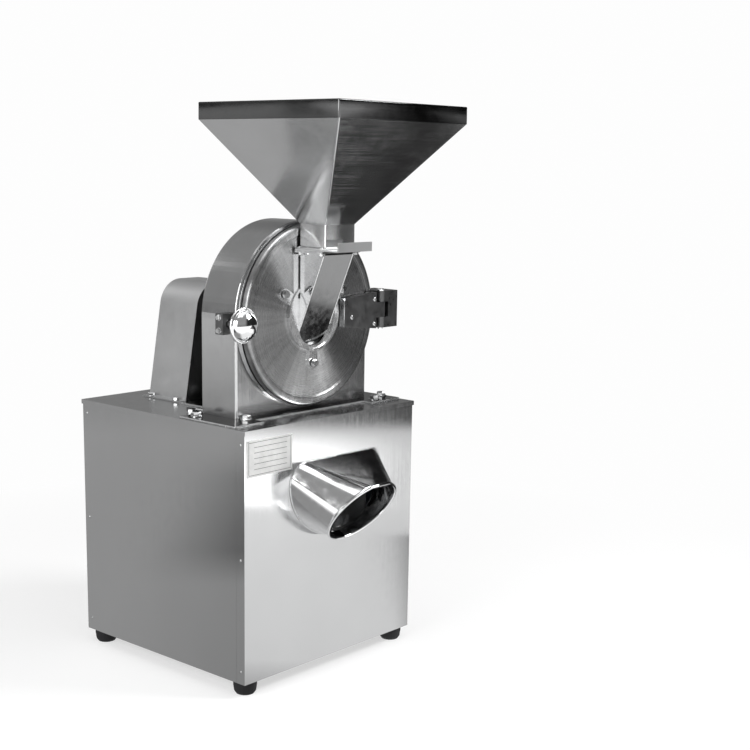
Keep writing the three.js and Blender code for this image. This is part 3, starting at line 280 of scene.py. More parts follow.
SHARP = 32                       # degrees: edges sharper than this stay sharp
FLAT = math.radians(0.5)
WELDED = 1e-6                    # vertices nearer than this are one
ON_AXIS = 1e-9


def soften(obj, width):
    """Rounds the sharp edges and shades the rest smooth."""
    flatten = obj.modifiers.new("flat_faces", "DECIMATE")
    flatten.decimate_type = "DISSOLVE"
    flatten.angle_limit = FLAT
    bevel = obj.modifiers.new("edges", "BEVEL")
    bevel.width = width
    bevel.segments = 2
    bevel.limit_method = "ANGLE"
    bevel.angle_limit = math.radians(SHARP)
    bevel.harden_normals = True
    smooth(obj)


def smooth(obj, angle=SHARP):
    mesh = obj.data
    if "custom_normal" in mesh.attributes:
        mesh.attributes.remove(mesh.attributes["custom_normal"])
    mesh.shade_smooth()
    mesh.set_sharp_from_angle(angle=math.radians(angle))


def piece(name, vertices, faces, body, look, angle=SHARP):
    """A mesh object with its faces turned out, riding on a body."""
    mesh = bpy.data.meshes.new(name)
    mesh.from_pydata([tuple(v) for v in vertices], [], faces)
    work = bmesh.new()
    work.from_mesh(mesh)
    bmesh.ops.remove_doubles(work, verts=work.verts, dist=WELDED)
    bmesh.ops.recalc_face_normals(work, faces=work.faces)
    work.to_mesh(mesh)
    work.free()
    obj = bpy.data.objects.new(name, mesh)
    bpy.context.scene.collection.objects.link(obj)
    paint(obj, look)
    smooth(obj, angle)
    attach(obj, body)
    return obj


def aim(place, direction):
    """The matrix that stands +Z along a direction at a place."""
    turn = Vector(direction).to_track_quat("Z", "Y").to_matrix().to_4x4()
    return Matrix.Translation(place) @ turn


def lathe_mesh(profile, segments, matrix):
    """A profile of (radius, height) pairs turned about +Z, closed on itself or on the axis."""
    vertices = []
    faces = []
    count = len(profile)
    for s in range(segments):
        angle = 2 * math.pi * s / segments
        for radius, height in profile:
            vertices.append(matrix @ Vector((radius * math.cos(angle), radius * math.sin(angle),
                                             height)))
    for s in range(segments):
        here, there = s * count, ((s + 1) % segments) * count
        for i in range(count):
            j = (i + 1) % count
            if profile[i][0] < ON_AXIS and profile[j][0] < ON_AXIS:
                continue
            faces.append((here + i, there + i, there + j, here + j))
    return vertices, faces


def lathe(name, profile, place, direction, body, look, segments, angle):
    vertices, faces = lathe_mesh(profile, segments, aim(place, direction))
    return piece(name, vertices, faces, body, look, angle)


def loft(name, rings, body, look, angle=SHARP):
    """A skin through rings of equally many points; the last ring joins the first one."""
    count = len(rings[0])
    vertices = [point for ring in rings for point in ring]
    faces = []
    for r in range(len(rings)):
        n = (r + 1) % len(rings)
        for i in range(count):
            j = (i + 1) % count
            faces.append((r * count + i, r * count + j, n * count + j, n * count + i))
    return piece(name, vertices, faces, body, look, angle)


def block_mesh(low, high):
    corners = [Vector((x, y, z)) for x in (low.x, high.x) for y in (low.y, high.y)
               for z in (low.z, high.z)]
    faces = [(0, 1, 3, 2), (4, 6, 7, 5), (0, 4, 5, 1), (2, 3, 7, 6), (0, 2, 6, 4), (1, 5, 7, 3)]
    return corners, faces


def merged(name, parts, body, look):
    """Several vertex and face lists as one piece."""
    vertices = []
    faces = []
    for part_vertices, part_faces in parts:
        start = len(vertices)
        vertices.extend(part_vertices)
        faces.extend(tuple(start + i for i in face) for face in part_faces)
    return piece(name, vertices, faces, body, look)


def arc(centre_r, centre_h, radius, start, end, steps):
    """Points of (radius, height) along an arc, angles in degrees."""
    made = []
    for i in range(steps + 1):
        turn = math.radians(start + (end - start) * i / steps)
        made.append((centre_r + radius * math.cos(turn), centre_h + radius * math.sin(turn)))
    return made


# ---- Fasteners ------------------------------------------------------------------------------

HEX = 6                          # sides of a bolt's head
BOLT_SPIN = 0.3                  # radians that each bolt of a set is turned from the last


def hex_bolt_mesh(place, direction, size, spin):
    """A washer and a chamfered hexagon head; size is the thread's radius."""
    matrix = aim(place, direction)
    across, tall, washer = size * 1.75, size * 1.3, size * 0.35
    vertices, faces = lathe_mesh(
        [(0, 0), (size * 2.1, 0), (size * 2.1, washer * 0.7), (size * 2.0, washer), (0, washer)],
        24, matrix)
    rings = [(1.0, washer), (1.0, washer + tall * 0.78), (0.86, washer + tall),
             (0.0, washer + tall)]
    start = len(vertices)
    for scale, height in rings:
        for k in range(HEX):
            turn = spin + 2 * math.pi / HEX * k
            vertices.append(matrix @ Vector((across * scale * math.cos(turn),
                                             across * scale * math.sin(turn), height)))
    for r in range(len(rings) - 1):
        here, there = start + r * HEX, start + (r + 1) * HEX
        for k in range(HEX):
            j = (k + 1) % HEX
            faces.append((here + k, here + j, there + j, there + k))
    return vertices, faces


def screw_mesh(place, direction, radius):
    """A pan head with a round recess."""
    profile = [(0, 0), (radius, 0), *arc(radius * 0.55, 0, radius * 0.45, 0, 80, 5),
               (radius * 0.35, radius * 0.44), (radius * 0.30, radius * 0.15),
               (0, radius * 0.12)]
    return lathe_mesh(profile, 20, aim(place, direction))


def bolts(name, places, direction, size, body):
    merged(name, [hex_bolt_mesh(place, direction, size, BOLT_SPIN * i)
                  for i, place in enumerate(places)], body, "bolt")


def screws(name, places, direction, radius, body):
    merged(name, [screw_mesh(place, direction, radius) for place in places], body, "bolt")


# ---- CAD nodes that stay --------------------------------------------------------------------

KEPT = {
    "cabinet_frame": ("cast", 0.8), "front_panel": ("panel", 0.5), "left_panel": ("panel", 0.4),
    "right_panel": ("panel", 0.4), "rear_panel": ("panel", 0.4), "top_plate": ("lid", 0.8),
    "foot_front_left": ("rubber", 1.2), "foot_front_right": ("rubber", 1.2),
    "foot_rear_left": ("rubber", 1.2), "foot_rear_right": ("rubber", 1.2),
    "discharge_duct": ("panel", 0.3), "nameplate": ("label", 0.2), "cable_gland": ("rubber", 0.5),
    "mill_base": ("base", 0.9), "mill_housing": ("housing", 1.2), "tooth_liner": ("tool", 0.5),
    "ring_screen": ("tool", 0.2), "bearing_housing": ("cast", 2.0),
    "front_bearing": ("chrome", 0.6), "rear_bearing": ("chrome", 0.6),
    "belt_guard": ("guard", 0.7), "spindle": ("tool", 0.8), "rotor_disc": ("door", 0.8),
    "rotor_nut": ("chrome", 0.8), "spindle_pulley": ("cast", 0.5), "door_disc": ("door", 0.8),
    "door_teeth": ("tool", 0.6), "feed_collar": ("trim", 1.6),
    "feed_chute": ("polished", 0.6), "gate_guide": ("guard", 0.5), "slide_gate": ("guard", 0.4),
    "hinge_leaf": ("cast", 1.0), "hinge_bracket": ("cast", 1.2), "hinge_pin": ("chrome", 0.6),
    "latch_lug": ("cast", 0.8), "latch_block": ("cast", 1.0), "latch_washer": ("chrome", 0.4),
    "latch_screw": ("tool", 0.6), "motor_body": ("paint", 0.8), "motor_fan_cover": ("paint", 0.8),
    "motor_terminal_box": ("paint", 2.5), "motor_slide_base": ("cast", 1.0),
    "motor_shaft": ("tool", 0.8), "motor_pulley": ("cast", 0.5), "v_belt_front": ("rubber", 0.4),
    "v_belt_rear": ("rubber", 0.4), "hopper": ("hopper", 0.5), "outlet_spout": ("polished", 0.4),
    "latch_knob": ("chrome", 0.6),
}


# Faces of a node with another look by the way they face: painted shade on the housing's back and
# the guard's front in the gap between them, a painted dark reflection on the chute's front, a
# painted highlight on the hinge leaf's end; the way they face, and the look.
FACE_SHADE_AND_HIGHLIGHT = {
    "hinge_leaf": ((-1, 0, 0), "trim"), "belt_guard": ((0, -1, 0), "cast"),
    "mill_housing": ((0, 1, 0), "cast"), "feed_chute": ((0, -0.92, -0.39), "chute"),
    "hinge_bracket": ((-1, 0, 0), "cast"),
}


def face_look(obj, way, look, near=0.99):
    """Gives the faces that look one way a look of their own, which paints shade or highlight by
    facing.
    """
    obj.data.materials.append(LOOKS[look])
    slot = len(obj.data.materials) - 1
    for face in obj.data.polygons:
        if face.normal.dot(Vector(way)) > near:
            face.material_index = slot


def dress_cad():
    for name, obj in NODES.items():
        look, width = KEPT.get(name, ("tool", 0.8))
        paint(obj, look)
        if name in FACE_SHADE_AND_HIGHLIGHT:
            face_look(obj, *FACE_SHADE_AND_HIGHLIGHT[name])
        soften(obj, width * MM)
    # The base plate's sides take the bright trim steel: a painted edge highlight. The lid's sides
    # take the panel steel.
    for way in ((1, 0, 0), (-1, 0, 0), (0, 1, 0), (0, -1, 0)):
        face_look(NODES["top_plate"], way, "panel")
        face_look(NODES["mill_base"], way, "trim")


# ---- Studio ---------------------------------------------------------------------------------

def emission(name, strength, build=None):
    """A glowing surface: white, or of the shades that build makes in its node tree."""
    material = bpy.data.materials.new(name)
    material.use_nodes = True
    t = Tree(material.node_tree)
    shader = t.node("ShaderNodeEmission", {"Strength": strength})
    if build:
        t.tree.links.new(build(t), shader.inputs["Color"])
    else:
        shader.inputs["Color"].default_value = (1, 1, 1, 1)
    t.node("ShaderNodeOutputMaterial", {"Surface": shader.outputs[0]})
    return material


def flat_stage(name, half, height, material):
    mesh = bpy.data.meshes.new(name)
    mesh.from_pydata([(-half, -half, height), (half, -half, height), (half, half, height),
                      (-half, half, height)], [], [(0, 1, 2, 3)])
    mesh.materials.append(material)
    obj = bpy.data.objects.new(name, mesh)
    bpy.context.scene.collection.objects.link(obj)
    return obj


# The cabinet's front mirrors the floor along MIRRORED, its left side the floor opposite.
MIRRORED = Vector((0.752, -0.659, 0))
ACROSS = Vector((0.659, 0.752, 0))
FLOOR_REACH = 8.0


def floor_shades(t):
    """Light and dark stretches of studio floor that only the polished steel mirrors."""
    place = t.node("ShaderNodeTexCoord").outputs["Object"]
    ahead = t.dot(place, MIRRORED)
    aside = t.dot(place, ACROSS)
    reach = t.mapped(ahead, 0, FLOOR_REACH, 0, 1)
    front_left = t.ramp(reach, [
        (0.00, 0.38), (0.11, 0.43), (0.190, 0.46), (0.205, 1.0), (0.30, 1.0), (0.35, 0.50),
        (0.385, 0.12), (0.50, 0.10), (0.62, 0.07), (0.75, 0.02)])
    front_right = t.ramp(reach, [
        (0.00, 0.38), (0.11, 0.40), (0.195, 0.40), (0.225, 0.38), (0.30, 0.38), (0.36, 0.36),
        (0.39, 0.03), (0.50, 0.02), (0.62, 0.02), (0.75, 0.01)])
    front = t.mix(t.mapped(aside, -0.26, 0.02, 0, 1), front_left, front_right)
    left = t.ramp(t.mapped(ahead, 0, -FLOOR_REACH, 0, 1), [
        (0.00, 0.13), (0.11, 0.13), (0.15, 0.015), (0.27, 0.02), (0.33, 0.12), (0.45, 0.16),
        (0.62, 0.24), (0.80, 0.16), (1.0, 0.12)])
    left_far = t.ramp(t.mapped(ahead, 0, -FLOOR_REACH, 0, 1), [
        (0.00, 0.16), (0.36, 0.17), (0.45, 0.14), (0.60, 0.24), (0.68, 0.31), (1.0, 0.34)])
    left = t.mix(t.mapped(aside, -0.28, 0.06, 0, 1), left, left_far)
    far_side = t.mapped(ahead, 1.22, 1.42, 0.06, 0.42)
    right = t.mapped(t.math("SUBTRACT", aside, far_side), -0.05, 0.05, 0, 1)
    front = t.mix(right, front, 0.008)
    front = t.mix(t.mapped(aside, 1.1, 1.7, 0, 1), front, 0.20)
    both = t.mix(t.mapped(ahead, -0.15, 0.15, 0, 1), left, front)
    return t.mix(t.mapped(aside, -0.9, -1.4, 0, 1), both, 0.62)


def sky_shades(t):
    """A pale sky with a dark flag high on the right and another low in front on the right."""
    direction = t.node("ShaderNodeTexCoord").outputs["Generated"]
    height = t.node("ShaderNodeSeparateXYZ", {"Vector": direction}).outputs["Z"]
    shade = t.ramp(t.mapped(height, -1, 1, 0, 1), [
        (0.46, 0.10), (0.52, 0.24), (0.60, 0.33), (0.75, 0.30), (1.0, 0.34)])
    high = t.mapped(t.dot(direction, Vector((0.78, 0.10, 0.62)).normalized()), 0.70, 0.90, 0, 1)
    low = t.mapped(t.dot(direction, Vector((0.75, -0.65, 0.10)).normalized()), 0.72, 0.88, 0, 1)
    return t.mix(low, t.mix(high, shade, 0.02), 0.02)


def pale_floor():
    """White near the machine, and glowing evenly further out, so that no horizon shows."""
    material = bpy.data.materials.new("pale_floor")
    material.use_nodes = True
    t = Tree(material.node_tree)
    place = t.node("ShaderNodeTexCoord").outputs["Object"]
    distance = t.node("ShaderNodeVectorMath", {0: place}, operation="LENGTH").outputs["Value"]
    diffuse = t.node("ShaderNodeBsdfDiffuse", {"Color": (0.42, 0.42, 0.42, 1)})
    glow = t.node("ShaderNodeEmission", {"Color": (1, 1, 1, 1), "Strength": 0.60})
    near = t.node("ShaderNodeAddShader", {0: diffuse.outputs[0], 1: glow.outputs[0]})
    far = t.node("ShaderNodeEmission", {"Color": (1, 1, 1, 1), "Strength": BACKDROP})
    both = t.node("ShaderNodeMixShader", {
        0: t.mapped(distance, 0.7, 1.8, 0, 1), 1: near.outputs[0], 2: far.outputs[0]})
    t.node("ShaderNodeOutputMaterial", {"Surface": both.outputs[0]})
    return material


BACKDROP = 0.985                 # strength of the white behind everything
MIRROR_STRENGTH = 2.4            # of the floor that only mirrors see


def make_studio():
    scene = bpy.context.scene
    scene.view_settings.view_transform = "Standard"
    world = bpy.data.worlds.new("studio")
    scene.world = world
    world.use_nodes = True
    t = Tree(world.node_tree)
    background = t.node("ShaderNodeBackground", {"Color": sky_shades(t), "Strength": 1.0})
    t.node("ShaderNodeOutputWorld", {"Surface": background.outputs[0]})

    floor = flat_stage("floor", 14, 0, pale_floor())
    floor.visible_glossy = False
    floor.visible_diffuse = False
    mirror = flat_stage("reflected_floor", 12, 0.001,
                        emission("floor_in_mirror", MIRROR_STRENGTH, floor_shades))
    for ray in ("camera", "diffuse", "transmission", "shadow"):
        setattr(mirror, f"visible_{ray}", False)

    bpy.ops.mesh.primitive_uv_sphere_add(radius=16, segments=48, ring_count=24)
    dome = bpy.context.object
    dome.name = "backdrop"
    dome.data.materials.append(emission("white_backdrop", BACKDROP))
    for ray in ("diffuse", "glossy", "transmission", "shadow"):
        setattr(dome, f"visible_{ray}", False)

    area_light("key", (1.72, -2.2, 2.75), (0, -0.1, 0.8), 1.2, 95)
    area_light("top", (-0.3, -0.2, 3.4), (0, 0, 0.5), 2.6, 25)
    area_light("fill", (-2.7, -0.1, 1.5), (0, 0, 0.8), 1.8, 48)
    area_light("back", (-0.6, 3.0, 2.2), (0, 0, 0.6), 1.6, 6)


def area_light(name, place, target, size, power):
    data = bpy.data.lights.new(name, "AREA")
    data.shape = "SQUARE"
    data.size = size
    data.energy = power
    light = bpy.data.objects.new(name, data)
    light.location = place
    light.rotation_mode = "QUATERNION"
    light.rotation_quaternion = (Vector(target) - Vector(place)).to_track_quat("-Z", "Y")
    bpy.context.scene.collection.objects.link(light)


# ---- Hopper ---------------------------------------------------------------------------------

NECK = {"half_x": 46, "half_y": 38, "y": -67, "bottom": 148, "top": 200}
RIM = {"half": 201, "y": -81, "bottom": 413, "top": 449}


def rounded_ring(half_x, half_y, y, z, corner, steps=5):
    """A level rectangle with round corners, anticlockwise from above."""
    ring = []
    for quarter, (sx, sy) in enumerate(((1, 1), (-1, 1), (-1, -1), (1, -1))):
        for i in range(steps + 1):
            turn = math.pi / 2 * (quarter + i / steps)
            ring.append(mill(sx * (half_x - corner) + corner * math.cos(turn),
                             y + sy * (half_y - corner) + corner * math.sin(turn), z))
    return ring


def make_hopper():
    wall = 2
    proud = 1.6

    def neck(z, inset):
        return rounded_ring(NECK["half_x"] - inset, NECK["half_y"] - inset, NECK["y"], z,
                            max(3.0 - inset, 0.8))

    def rim(z, inset):
        half = RIM["half"] - inset
        return rounded_ring(half, half, RIM["y"], z, max(4.0 - inset, 0.8))

    bead = 2.6
    roll = [rim(RIM["top"] - bead + bead * math.sin(turn), bead * (1 - math.cos(turn)))
            for turn in (math.pi * k / 6 for k in range(7))]
    shell = [
        neck(NECK["bottom"], 0), neck(NECK["top"], 0), rim(RIM["bottom"] - 1, proud),
        rim(RIM["bottom"], 0.4), rim(RIM["bottom"] + 1, 0), rim(RIM["top"] - bead - 2, 0.3), *roll,
        rim(RIM["bottom"] + 1, proud + wall), rim(RIM["bottom"] - 1, proud + wall),
        neck(NECK["top"], wall), neck(NECK["bottom"], wall)]
    hopper = loft("hopper_shell", shell, "door", "hopper", angle=28)
    # The rolled lip above the fold takes the dark lip steel: a painted dark reflection.
    hopper.data.materials.append(LOOKS["lip"])
    fold = mill(0, 0, RIM["bottom"] - 0.9).z
    for face in hopper.data.polygons:
        if all(hopper.data.vertices[v].co.z > fold for v in face.vertices):
            face.material_index = 1
    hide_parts("hopper")

    bottom, top = NECK["bottom"], NECK["bottom"] + 3
    outer, inner = (60, 40, -68), (NECK["half_x"] - 1, NECK["half_y"] - 1, NECK["y"])
    rings = [rounded_ring(*size, z, 2, 3)
             for size, z in ((outer, bottom), (outer, top), (inner, top), (inner, bottom))]
    flange = loft("hopper_flange", rings, "door", "guard")
    soften(flange, 0.5 * MM)
    weld("neck_weld", rounded_ring(NECK["half_x"] + 0.6, NECK["half_y"] + 0.6, NECK["y"],
                                   NECK["bottom"] + 3.6, 3), 1.3 * MM, "door")
    spots = [mill(x, y, NECK["bottom"] + 3) for x in (-53, 53) for y in (-100, -36)]
    screws("flange_screws", spots, (0, 0, 1), 4.2 * MM, "door")


def weld(name, path, radius, body, look="bolt", closed=True):
    """A bead of overlapping ripples along a path of points."""
    points = resample(path, radius * 0.8, closed)
    count = len(points)
    vertices = []
    faces = []
    sides = 8
    for i, point in enumerate(points):
        ahead = points[(i + 1) % count] if closed or i + 1 < count else point
        behind = points[i - 1] if closed or i else point
        along = (ahead - behind).normalized()
        turn = along.to_track_quat("Z", "Y").to_matrix()
        size = radius * (1.0 + 0.12 * math.sin(i * 2.1))
        for k in range(sides):
            angle = 2 * math.pi * k / sides
            vertices.append(point + turn @ Vector((size * math.cos(angle),
                                                   size * math.sin(angle), 0)))
    for i in range(count if closed else count - 1):
        j = (i + 1) % count
        for k in range(sides):
            n = (k + 1) % sides
            faces.append((i * sides + k, i * sides + n, j * sides + n, j * sides + k))
    if not closed:
        faces.append(tuple(range(sides)))
        faces.append(tuple((count - 1) * sides + k for k in range(sides)))
    return piece(name, vertices, faces, body, look, angle=60)


def resample(path, step, closed):
    """Points at an even spacing along a path."""
    corners = list(path) + ([path[0]] if closed else [])
    lengths = [(b - a).length for a, b in zip(corners, corners[1:])]
    count = max(8, round(sum(lengths) / step))
    made = []
    leg, left_behind = 0, 0.0
    for i in range(count if closed else count + 1):
        goal = sum(lengths) * i / count
        while leg < len(lengths) - 1 and goal > left_behind + lengths[leg]:
            left_behind += lengths[leg]
            leg += 1
        share = (goal - left_behind) / lengths[leg] if lengths[leg] else 0
        made.append(corners[leg].lerp(corners[leg + 1], share))
    return made


# ---- Door, knob and spout -------------------------------------------------------------------

DOOR_RADIUS = 200
FEED_RADIUS = 68


def make_door():
    """The dished disc with its rolled rim and the spigot behind, as one turned piece."""
    r = DOOR_RADIUS
    front = 24
    spigot, inside = 165, 8.3
    face = [(FEED_RADIUS, inside), (FEED_RADIUS, front - 0.8), (FEED_RADIUS + 0.8, front)]
    rim = [(r - 23, front), *arc(r - 22, front + 1, 1, -90, -20, 3),
           *arc(r - 18.5, front + 0.5, 1.5, 180, 90, 4), *arc(r - 8, front - 6, 8, 90, 0, 14)]
    back = [(r, 10.5), (r - 0.5, 10), (r - 7, 10), (r - 7, 6.3), (spigot, 6.3),
            (spigot - 1, -6), (spigot - 6, -6), (spigot - 6, inside)]
    profile = [(a * MM, h * MM) for a, h in [*face, *rim, *back]]
    door = lathe("door_plate", profile, mill(0, 0, 0), (0, -1, 0), "door", "door",
                 segments=160, angle=34)
    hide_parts("door_disc")


def make_knob():
    """A chromed dome on a rolled rim, with a blind bore for the screw."""
    low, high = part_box("latch_knob")
    centre = (low + high) / 2
    tall = (high.y - low.y) / MM
    radius = (high.x - low.x) / 2 / MM
    bore, deep = 7.3, 14
    shoulder = radius - 5.5
    base, steps = 8, 16
    dome = [(shoulder * math.cos(t), base + (tall - base) * math.sin(t))
            for t in (math.pi / 2 * k / steps for k in range(steps + 1))]
    dome[-1] = (0, tall)
    profile = [(bore, 0), (radius - 4, 0), *arc(radius - 3.4, 3.4, 3.4, -90, 90, 8),
               (radius - 4.2, 6.4), (shoulder + 0.4, 7.2), *dome, (0, deep), (bore, deep)]
    knob = lathe("latch_dome", [(a * MM, h * MM) for a, h in profile],
                 Vector((centre.x, high.y, centre.z)), (0, -1, 0), "latch", "chrome",
                 segments=72, angle=40)
    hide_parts("latch_knob")


SPOUT = {"middle": 10, "half_x": 146, "top": 487, "shoulder": 441, "bottom": 313,
         "left_corner": 50, "right_corner": 26}
MOUTH = {"radius": 92, "y": -354, "z": 379, "tilt": math.radians(38), "flat": 0.3}
CABINET_Y = 84
SPOUT_STEPS = 22


def spout_outline(inset):
    """Flat top, a large round corner on the left, a small one on the right, half-ellipse below."""
    half_x = SPOUT["half_x"] - inset
    rise = SPOUT["top"] - inset - SPOUT["shoulder"]
    drop = SPOUT["shoulder"] - SPOUT["bottom"] - inset

    def side(sign, corner):
        points = []
        for i in range(SPOUT_STEPS + 1):
            turn = i / SPOUT_STEPS * math.pi / 2
            out = half_x - corner * (1 - math.sin(turn))
            points.append((SPOUT["middle"] + sign * out, SPOUT["shoulder"] + rise * math.cos(turn)))
        for i in range(1, SPOUT_STEPS + 1):
            turn = i / SPOUT_STEPS * math.pi / 2
            points.append((SPOUT["middle"] + sign * half_x * math.cos(turn),
                           SPOUT["shoulder"] - drop * math.sin(turn)))
        return points

    return side(-1, SPOUT["left_corner"]) + side(1, SPOUT["right_corner"])[-2::-1]


def mouth_ring(radius, along):
    count = 4 * SPOUT_STEPS + 1
    first = MOUTH["flat"]
    ring = []
    for i in range(count):
        on_left = i <= 2 * SPOUT_STEPS
        share = (i if on_left else count - 1 - i) / (2 * SPOUT_STEPS)
        side = -1 if on_left else 1
        turn = first + share * (math.pi - first)
        up = radius * math.cos(turn)
        ring.append(Vector((
            side * radius * math.sin(turn),
            CABINET_Y + MOUTH["y"] - up * math.sin(MOUTH["tilt"]) - along * math.cos(MOUTH["tilt"]),
            MOUTH["z"] + up * math.cos(MOUTH["tilt"]) - along * math.sin(MOUTH["tilt"]))) * MM)
    return ring


def make_spout():
    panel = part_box("outlet_spout")[1].y

    def on_panel(inset):
        return [Vector((x * MM, panel, z * MM)) for x, z in spout_outline(inset)]

    r = MOUTH["radius"]
    bead = 3.2
    roll = [mouth_ring(r - bead + bead * math.cos(t), bead * math.sin(t))
            for t in (math.radians(-60 + 30 * k) for k in range(9))]
    behind = -5
    rings = [on_panel(0), mouth_ring(r - 3.4, behind), *roll, mouth_ring(r - 5.6, behind),
             on_panel(3)]
    spout = loft("spout_shell", rings, "machine", "polished", angle=24)
    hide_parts("outlet_spout")
    # The spout's flat top facet takes the near-black steel: a painted dark reflection.
    face_look(spout, (0, -0.27, 0.96), "shade", 0.97)
    edge = [Vector((x * MM, panel - 0.6 * MM, z * MM)) for x, z in spout_outline(-0.8)]
    weld("spout_weld", edge, 1.4 * MM, "machine")


# ---- Chute and rear panel -------------------------------------------------------------------

def make_chute_details():
    """Weld beads down the chute's folded edges, nuts under its flange, a bolt at its foot."""
    edge_x, top, turn = 45.6, (-101.8, 139), (-34, -20)
    for name, side in (("chute_weld_left", -1), ("chute_weld_right", 1)):
        path = [mill(side * edge_x, y + 0.4, z) for y, z in (top, turn)]
        weld(name, path, 1.2 * MM, "door", look="trim", closed=False)
    spots = [mill(x, y, 140) for x in (-53, 53) for y in (-100, -40)]
    bolts("flange_nuts", spots, (0, 0, -1), 3.4 * MM, "door")
    rim = (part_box("feed_collar")[0].y - HOUSING_FRONT) / MM
    screws("collar_screw", [mill(-2, rim, -74.4)], (0, -1, 0), 3.4 * MM, "door")


LOUVRE = {"count": 6, "half": 80, "past": 4, "pitch": 18, "z": 400, "out": 9, "tall": 12,
          "sheet": 1.2}
HOOD_SHARES = (0.0, 0.04, 0.1, 0.2, 0.8, 0.9, 0.96, 1.0)
HOOD_STEPS = 6


def hood_ring(x, back, low, swell):
    """A hood's section: a quarter round out from the panel, and its inside back again."""
    outer, inner = [], []
    for k in range(HOOD_STEPS + 1):
        turn = math.pi / 2 * k / HOOD_STEPS
        out = LOUVRE["out"] * MM * swell * math.cos(turn)
        up = LOUVRE["tall"] * MM * math.sin(turn)
        sheet = LOUVRE["sheet"] * MM
        outer.append(Vector((x, back + out, low + up)))
        inner.append(Vector((x, back + max(out - sheet, 0),
                             low + max(up - sheet * math.sin(turn), 0))))
    return outer + inner[::-1]


def make_louvre_hoods():
    """Pressed hoods that lean out over the rear panel's slots, open below."""
    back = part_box("rear_panel")[1].y
    for i in range(LOUVRE["count"]):
        low = (LOUVRE["z"] - i * LOUVRE["pitch"] - 1) * MM
        rings = []
        for share in HOOD_SHARES:
            x = (2 * share - 1) * (LOUVRE["half"] + LOUVRE["past"]) * MM
            swell = math.sin(math.pi * min(share, 1 - share, 0.2) / 0.4)
            rings.append(hood_ring(x, back, low, max(swell, 0.05)))
        count = len(rings[0])
        vertices = [point for ring in rings for point in ring]
        faces = [tuple(range(count)), tuple((len(rings) - 1) * count + k for k in range(count))]
        for r in range(len(rings) - 1):
            for k in range(count):
                n = (k + 1) % count
                faces.append((r * count + k, r * count + n, (r + 1) * count + n,
                              (r + 1) * count + k))
        piece(f"louvre_hood_{i + 1}", vertices, faces, "machine", "panel",
              angle=40)


# ---- Fastener places ------------------------------------------------------------------------

def make_plate_print():
    """A border and blank ruled lines on the nameplate, and a rivet in each corner."""
    low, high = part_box("nameplate")
    front = low.y
    thick = 0.25 * MM

    def bar(x0, x1, z0, z1):
        return block_mesh(Vector((x0, front - thick, z0)), Vector((x1, front, z1)))

    edge, line = 4 * MM, 0.9 * MM
    left, right, bottom, top = low.x + edge, high.x - edge, low.z + edge, high.z - edge
    bars = [bar(left, right, top - line, top), bar(left, right, bottom, bottom + line),
            bar(left, left + line, bottom, top), bar(right - line, right, bottom, top)]
    rows = 5
    for i in range(rows):
        height = top - (i + 1) * (top - bottom) / (rows + 1)
        bars.append(bar(left + 4 * edge, right - 3 * edge, height, height + line))
    merged("plate_rules", bars, "machine", "ink")
    rivets = [Vector((x, front, z)) for x in (low.x + 2.2 * MM, high.x - 2.2 * MM)
              for z in (low.z + 2.2 * MM, high.z - 2.2 * MM)]
    screws("plate_rivets", rivets, (0, -1, 0), 1.5 * MM, "machine")


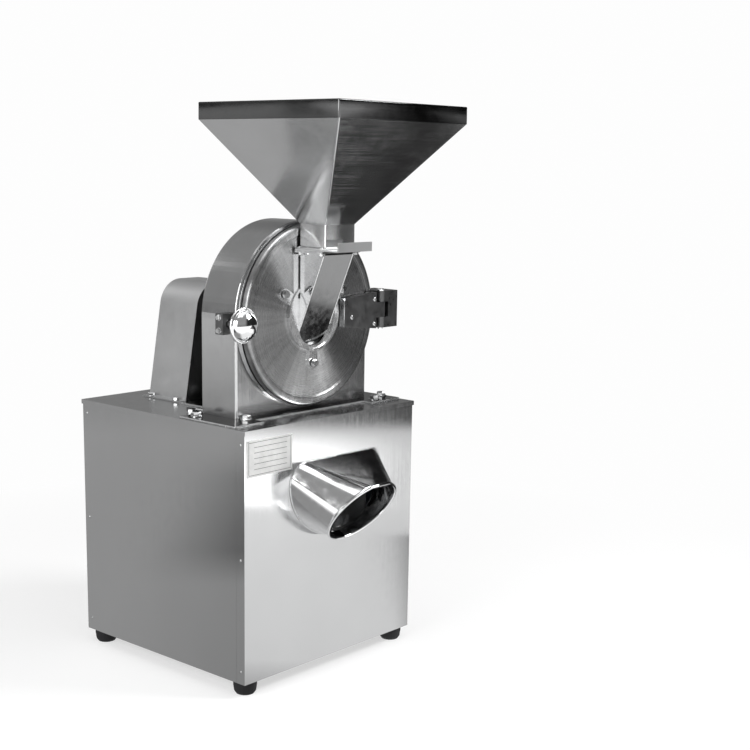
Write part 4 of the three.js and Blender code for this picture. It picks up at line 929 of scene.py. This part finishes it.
def make_fasteners():
    up = (0, 0, 1)
    front = (0, -1, 0)
    left = (-1, 0, 0)
    right = (1, 0, 0)
    ears = [Vector((x * MM, y * MM, BASE_TOP)) for x, y in (
        (-190, -106), (-240, -4), (199, -127), (250, -104), (240, -4))]
    bolts("base_bolts", ears, up, 6 * MM, "machine")
    bolts("lid_bolts", [Vector((x * MM, y * MM, LID_TOP)) for x, y in (
        (-202, 55), (-186, 46), (202, 55))], up, 5 * MM, "machine")
    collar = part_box("feed_collar")
    ear = 104
    ear_spots = [mill(ear * math.cos(a), 0, ear * math.sin(a))
                 for a in (math.radians(d) for d in (150, 270, 30))]
    bolts("collar_bolts", [Vector((v.x, collar[0].y, v.z)) for v in ear_spots], front, 4.5 * MM,
          "door")
    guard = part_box("belt_guard")
    flange_top = guard[0].z + 3 * MM
    spots = [Vector((sx * 136 * MM, y, flange_top)) for sx in (-1, 1)
             for y in (guard[0].y + 20 * MM, guard[1].y - 20 * MM)]
    bolts("guard_bolts", spots, up, 4.5 * MM, "machine")
    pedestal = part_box("bearing_housing")
    spots = [Vector((sx * 60 * MM, y, pedestal[0].z + 14 * MM)) for sx in (-1, 1)
             for y in (pedestal[0].y + 28 * MM, pedestal[1].y - 22 * MM)]
    bolts("pedestal_bolts", spots, up, 6 * MM, "machine")
    leaf_face = (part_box("hinge_leaf")[0].y - HOUSING_FRONT) / MM
    screws("leaf_screws", [mill(x, leaf_face, z) for x, z in ((110, -11), (187, 25), (187, -31))],
           front, 5.5 * MM, "door")
    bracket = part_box("hinge_bracket")
    spots = [Vector((bracket[1].x, HOUSING_FRONT + 8 * MM, SPINDLE.z + z * MM))
             for z in (-28, 28)]
    bolts("bracket_bolts", spots, right, 2.7 * MM, "machine")
    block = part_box("latch_block")
    middle = (block[0] + block[1]) / 2
    spots = [Vector((block[0].x, middle.y, middle.z + z * MM)) for z in (-14, 14)]
    bolts("block_bolts", spots, left, 3.3 * MM, "machine")
    panel_screws()


PANEL_SCREW = 3.3 * MM
FOLD_SCREWS_IN = 12 * MM
REAR_SCREWS_IN = 14 * MM


def panel_screws():
    left_face, right_face = CABINET_LOW.x, CABINET_HIGH.x
    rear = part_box("rear_panel")
    fold_y = CABINET_LOW.y + FOLD_SCREWS_IN
    heights = [CABINET_LOW.z + share * (CABINET_HIGH.z - CABINET_LOW.z)
               for share in (0.05, 0.5, 0.95)]
    for name, x, way in (("left_fold_screws", left_face, (-1, 0, 0)),
                         ("right_fold_screws", right_face, (1, 0, 0))):
        screws(name, [Vector((x, fold_y, z)) for z in heights], way, PANEL_SCREW, "machine")
        rear_spots = [Vector((x, rear[1].y - REAR_SCREWS_IN, z)) for z in heights]
        screws(name.replace("fold", "rear"), rear_spots, way, PANEL_SCREW, "machine")
    spots = [Vector((sx * (rear[1].x - REAR_SCREWS_IN), rear[1].y, z)) for sx in (-1, 1)
             for z in heights]
    screws("rear_panel_screws", spots, (0, 1, 0), PANEL_SCREW, "machine")


# ---- Build ----------------------------------------------------------------------------------

make_camera()
make_studio()
dress_cad()
make_hopper()
make_door()
make_knob()
make_spout()
make_fasteners()
make_plate_print()
make_chute_details()
make_louvre_hoods()

bpy.context.view_layer.update()
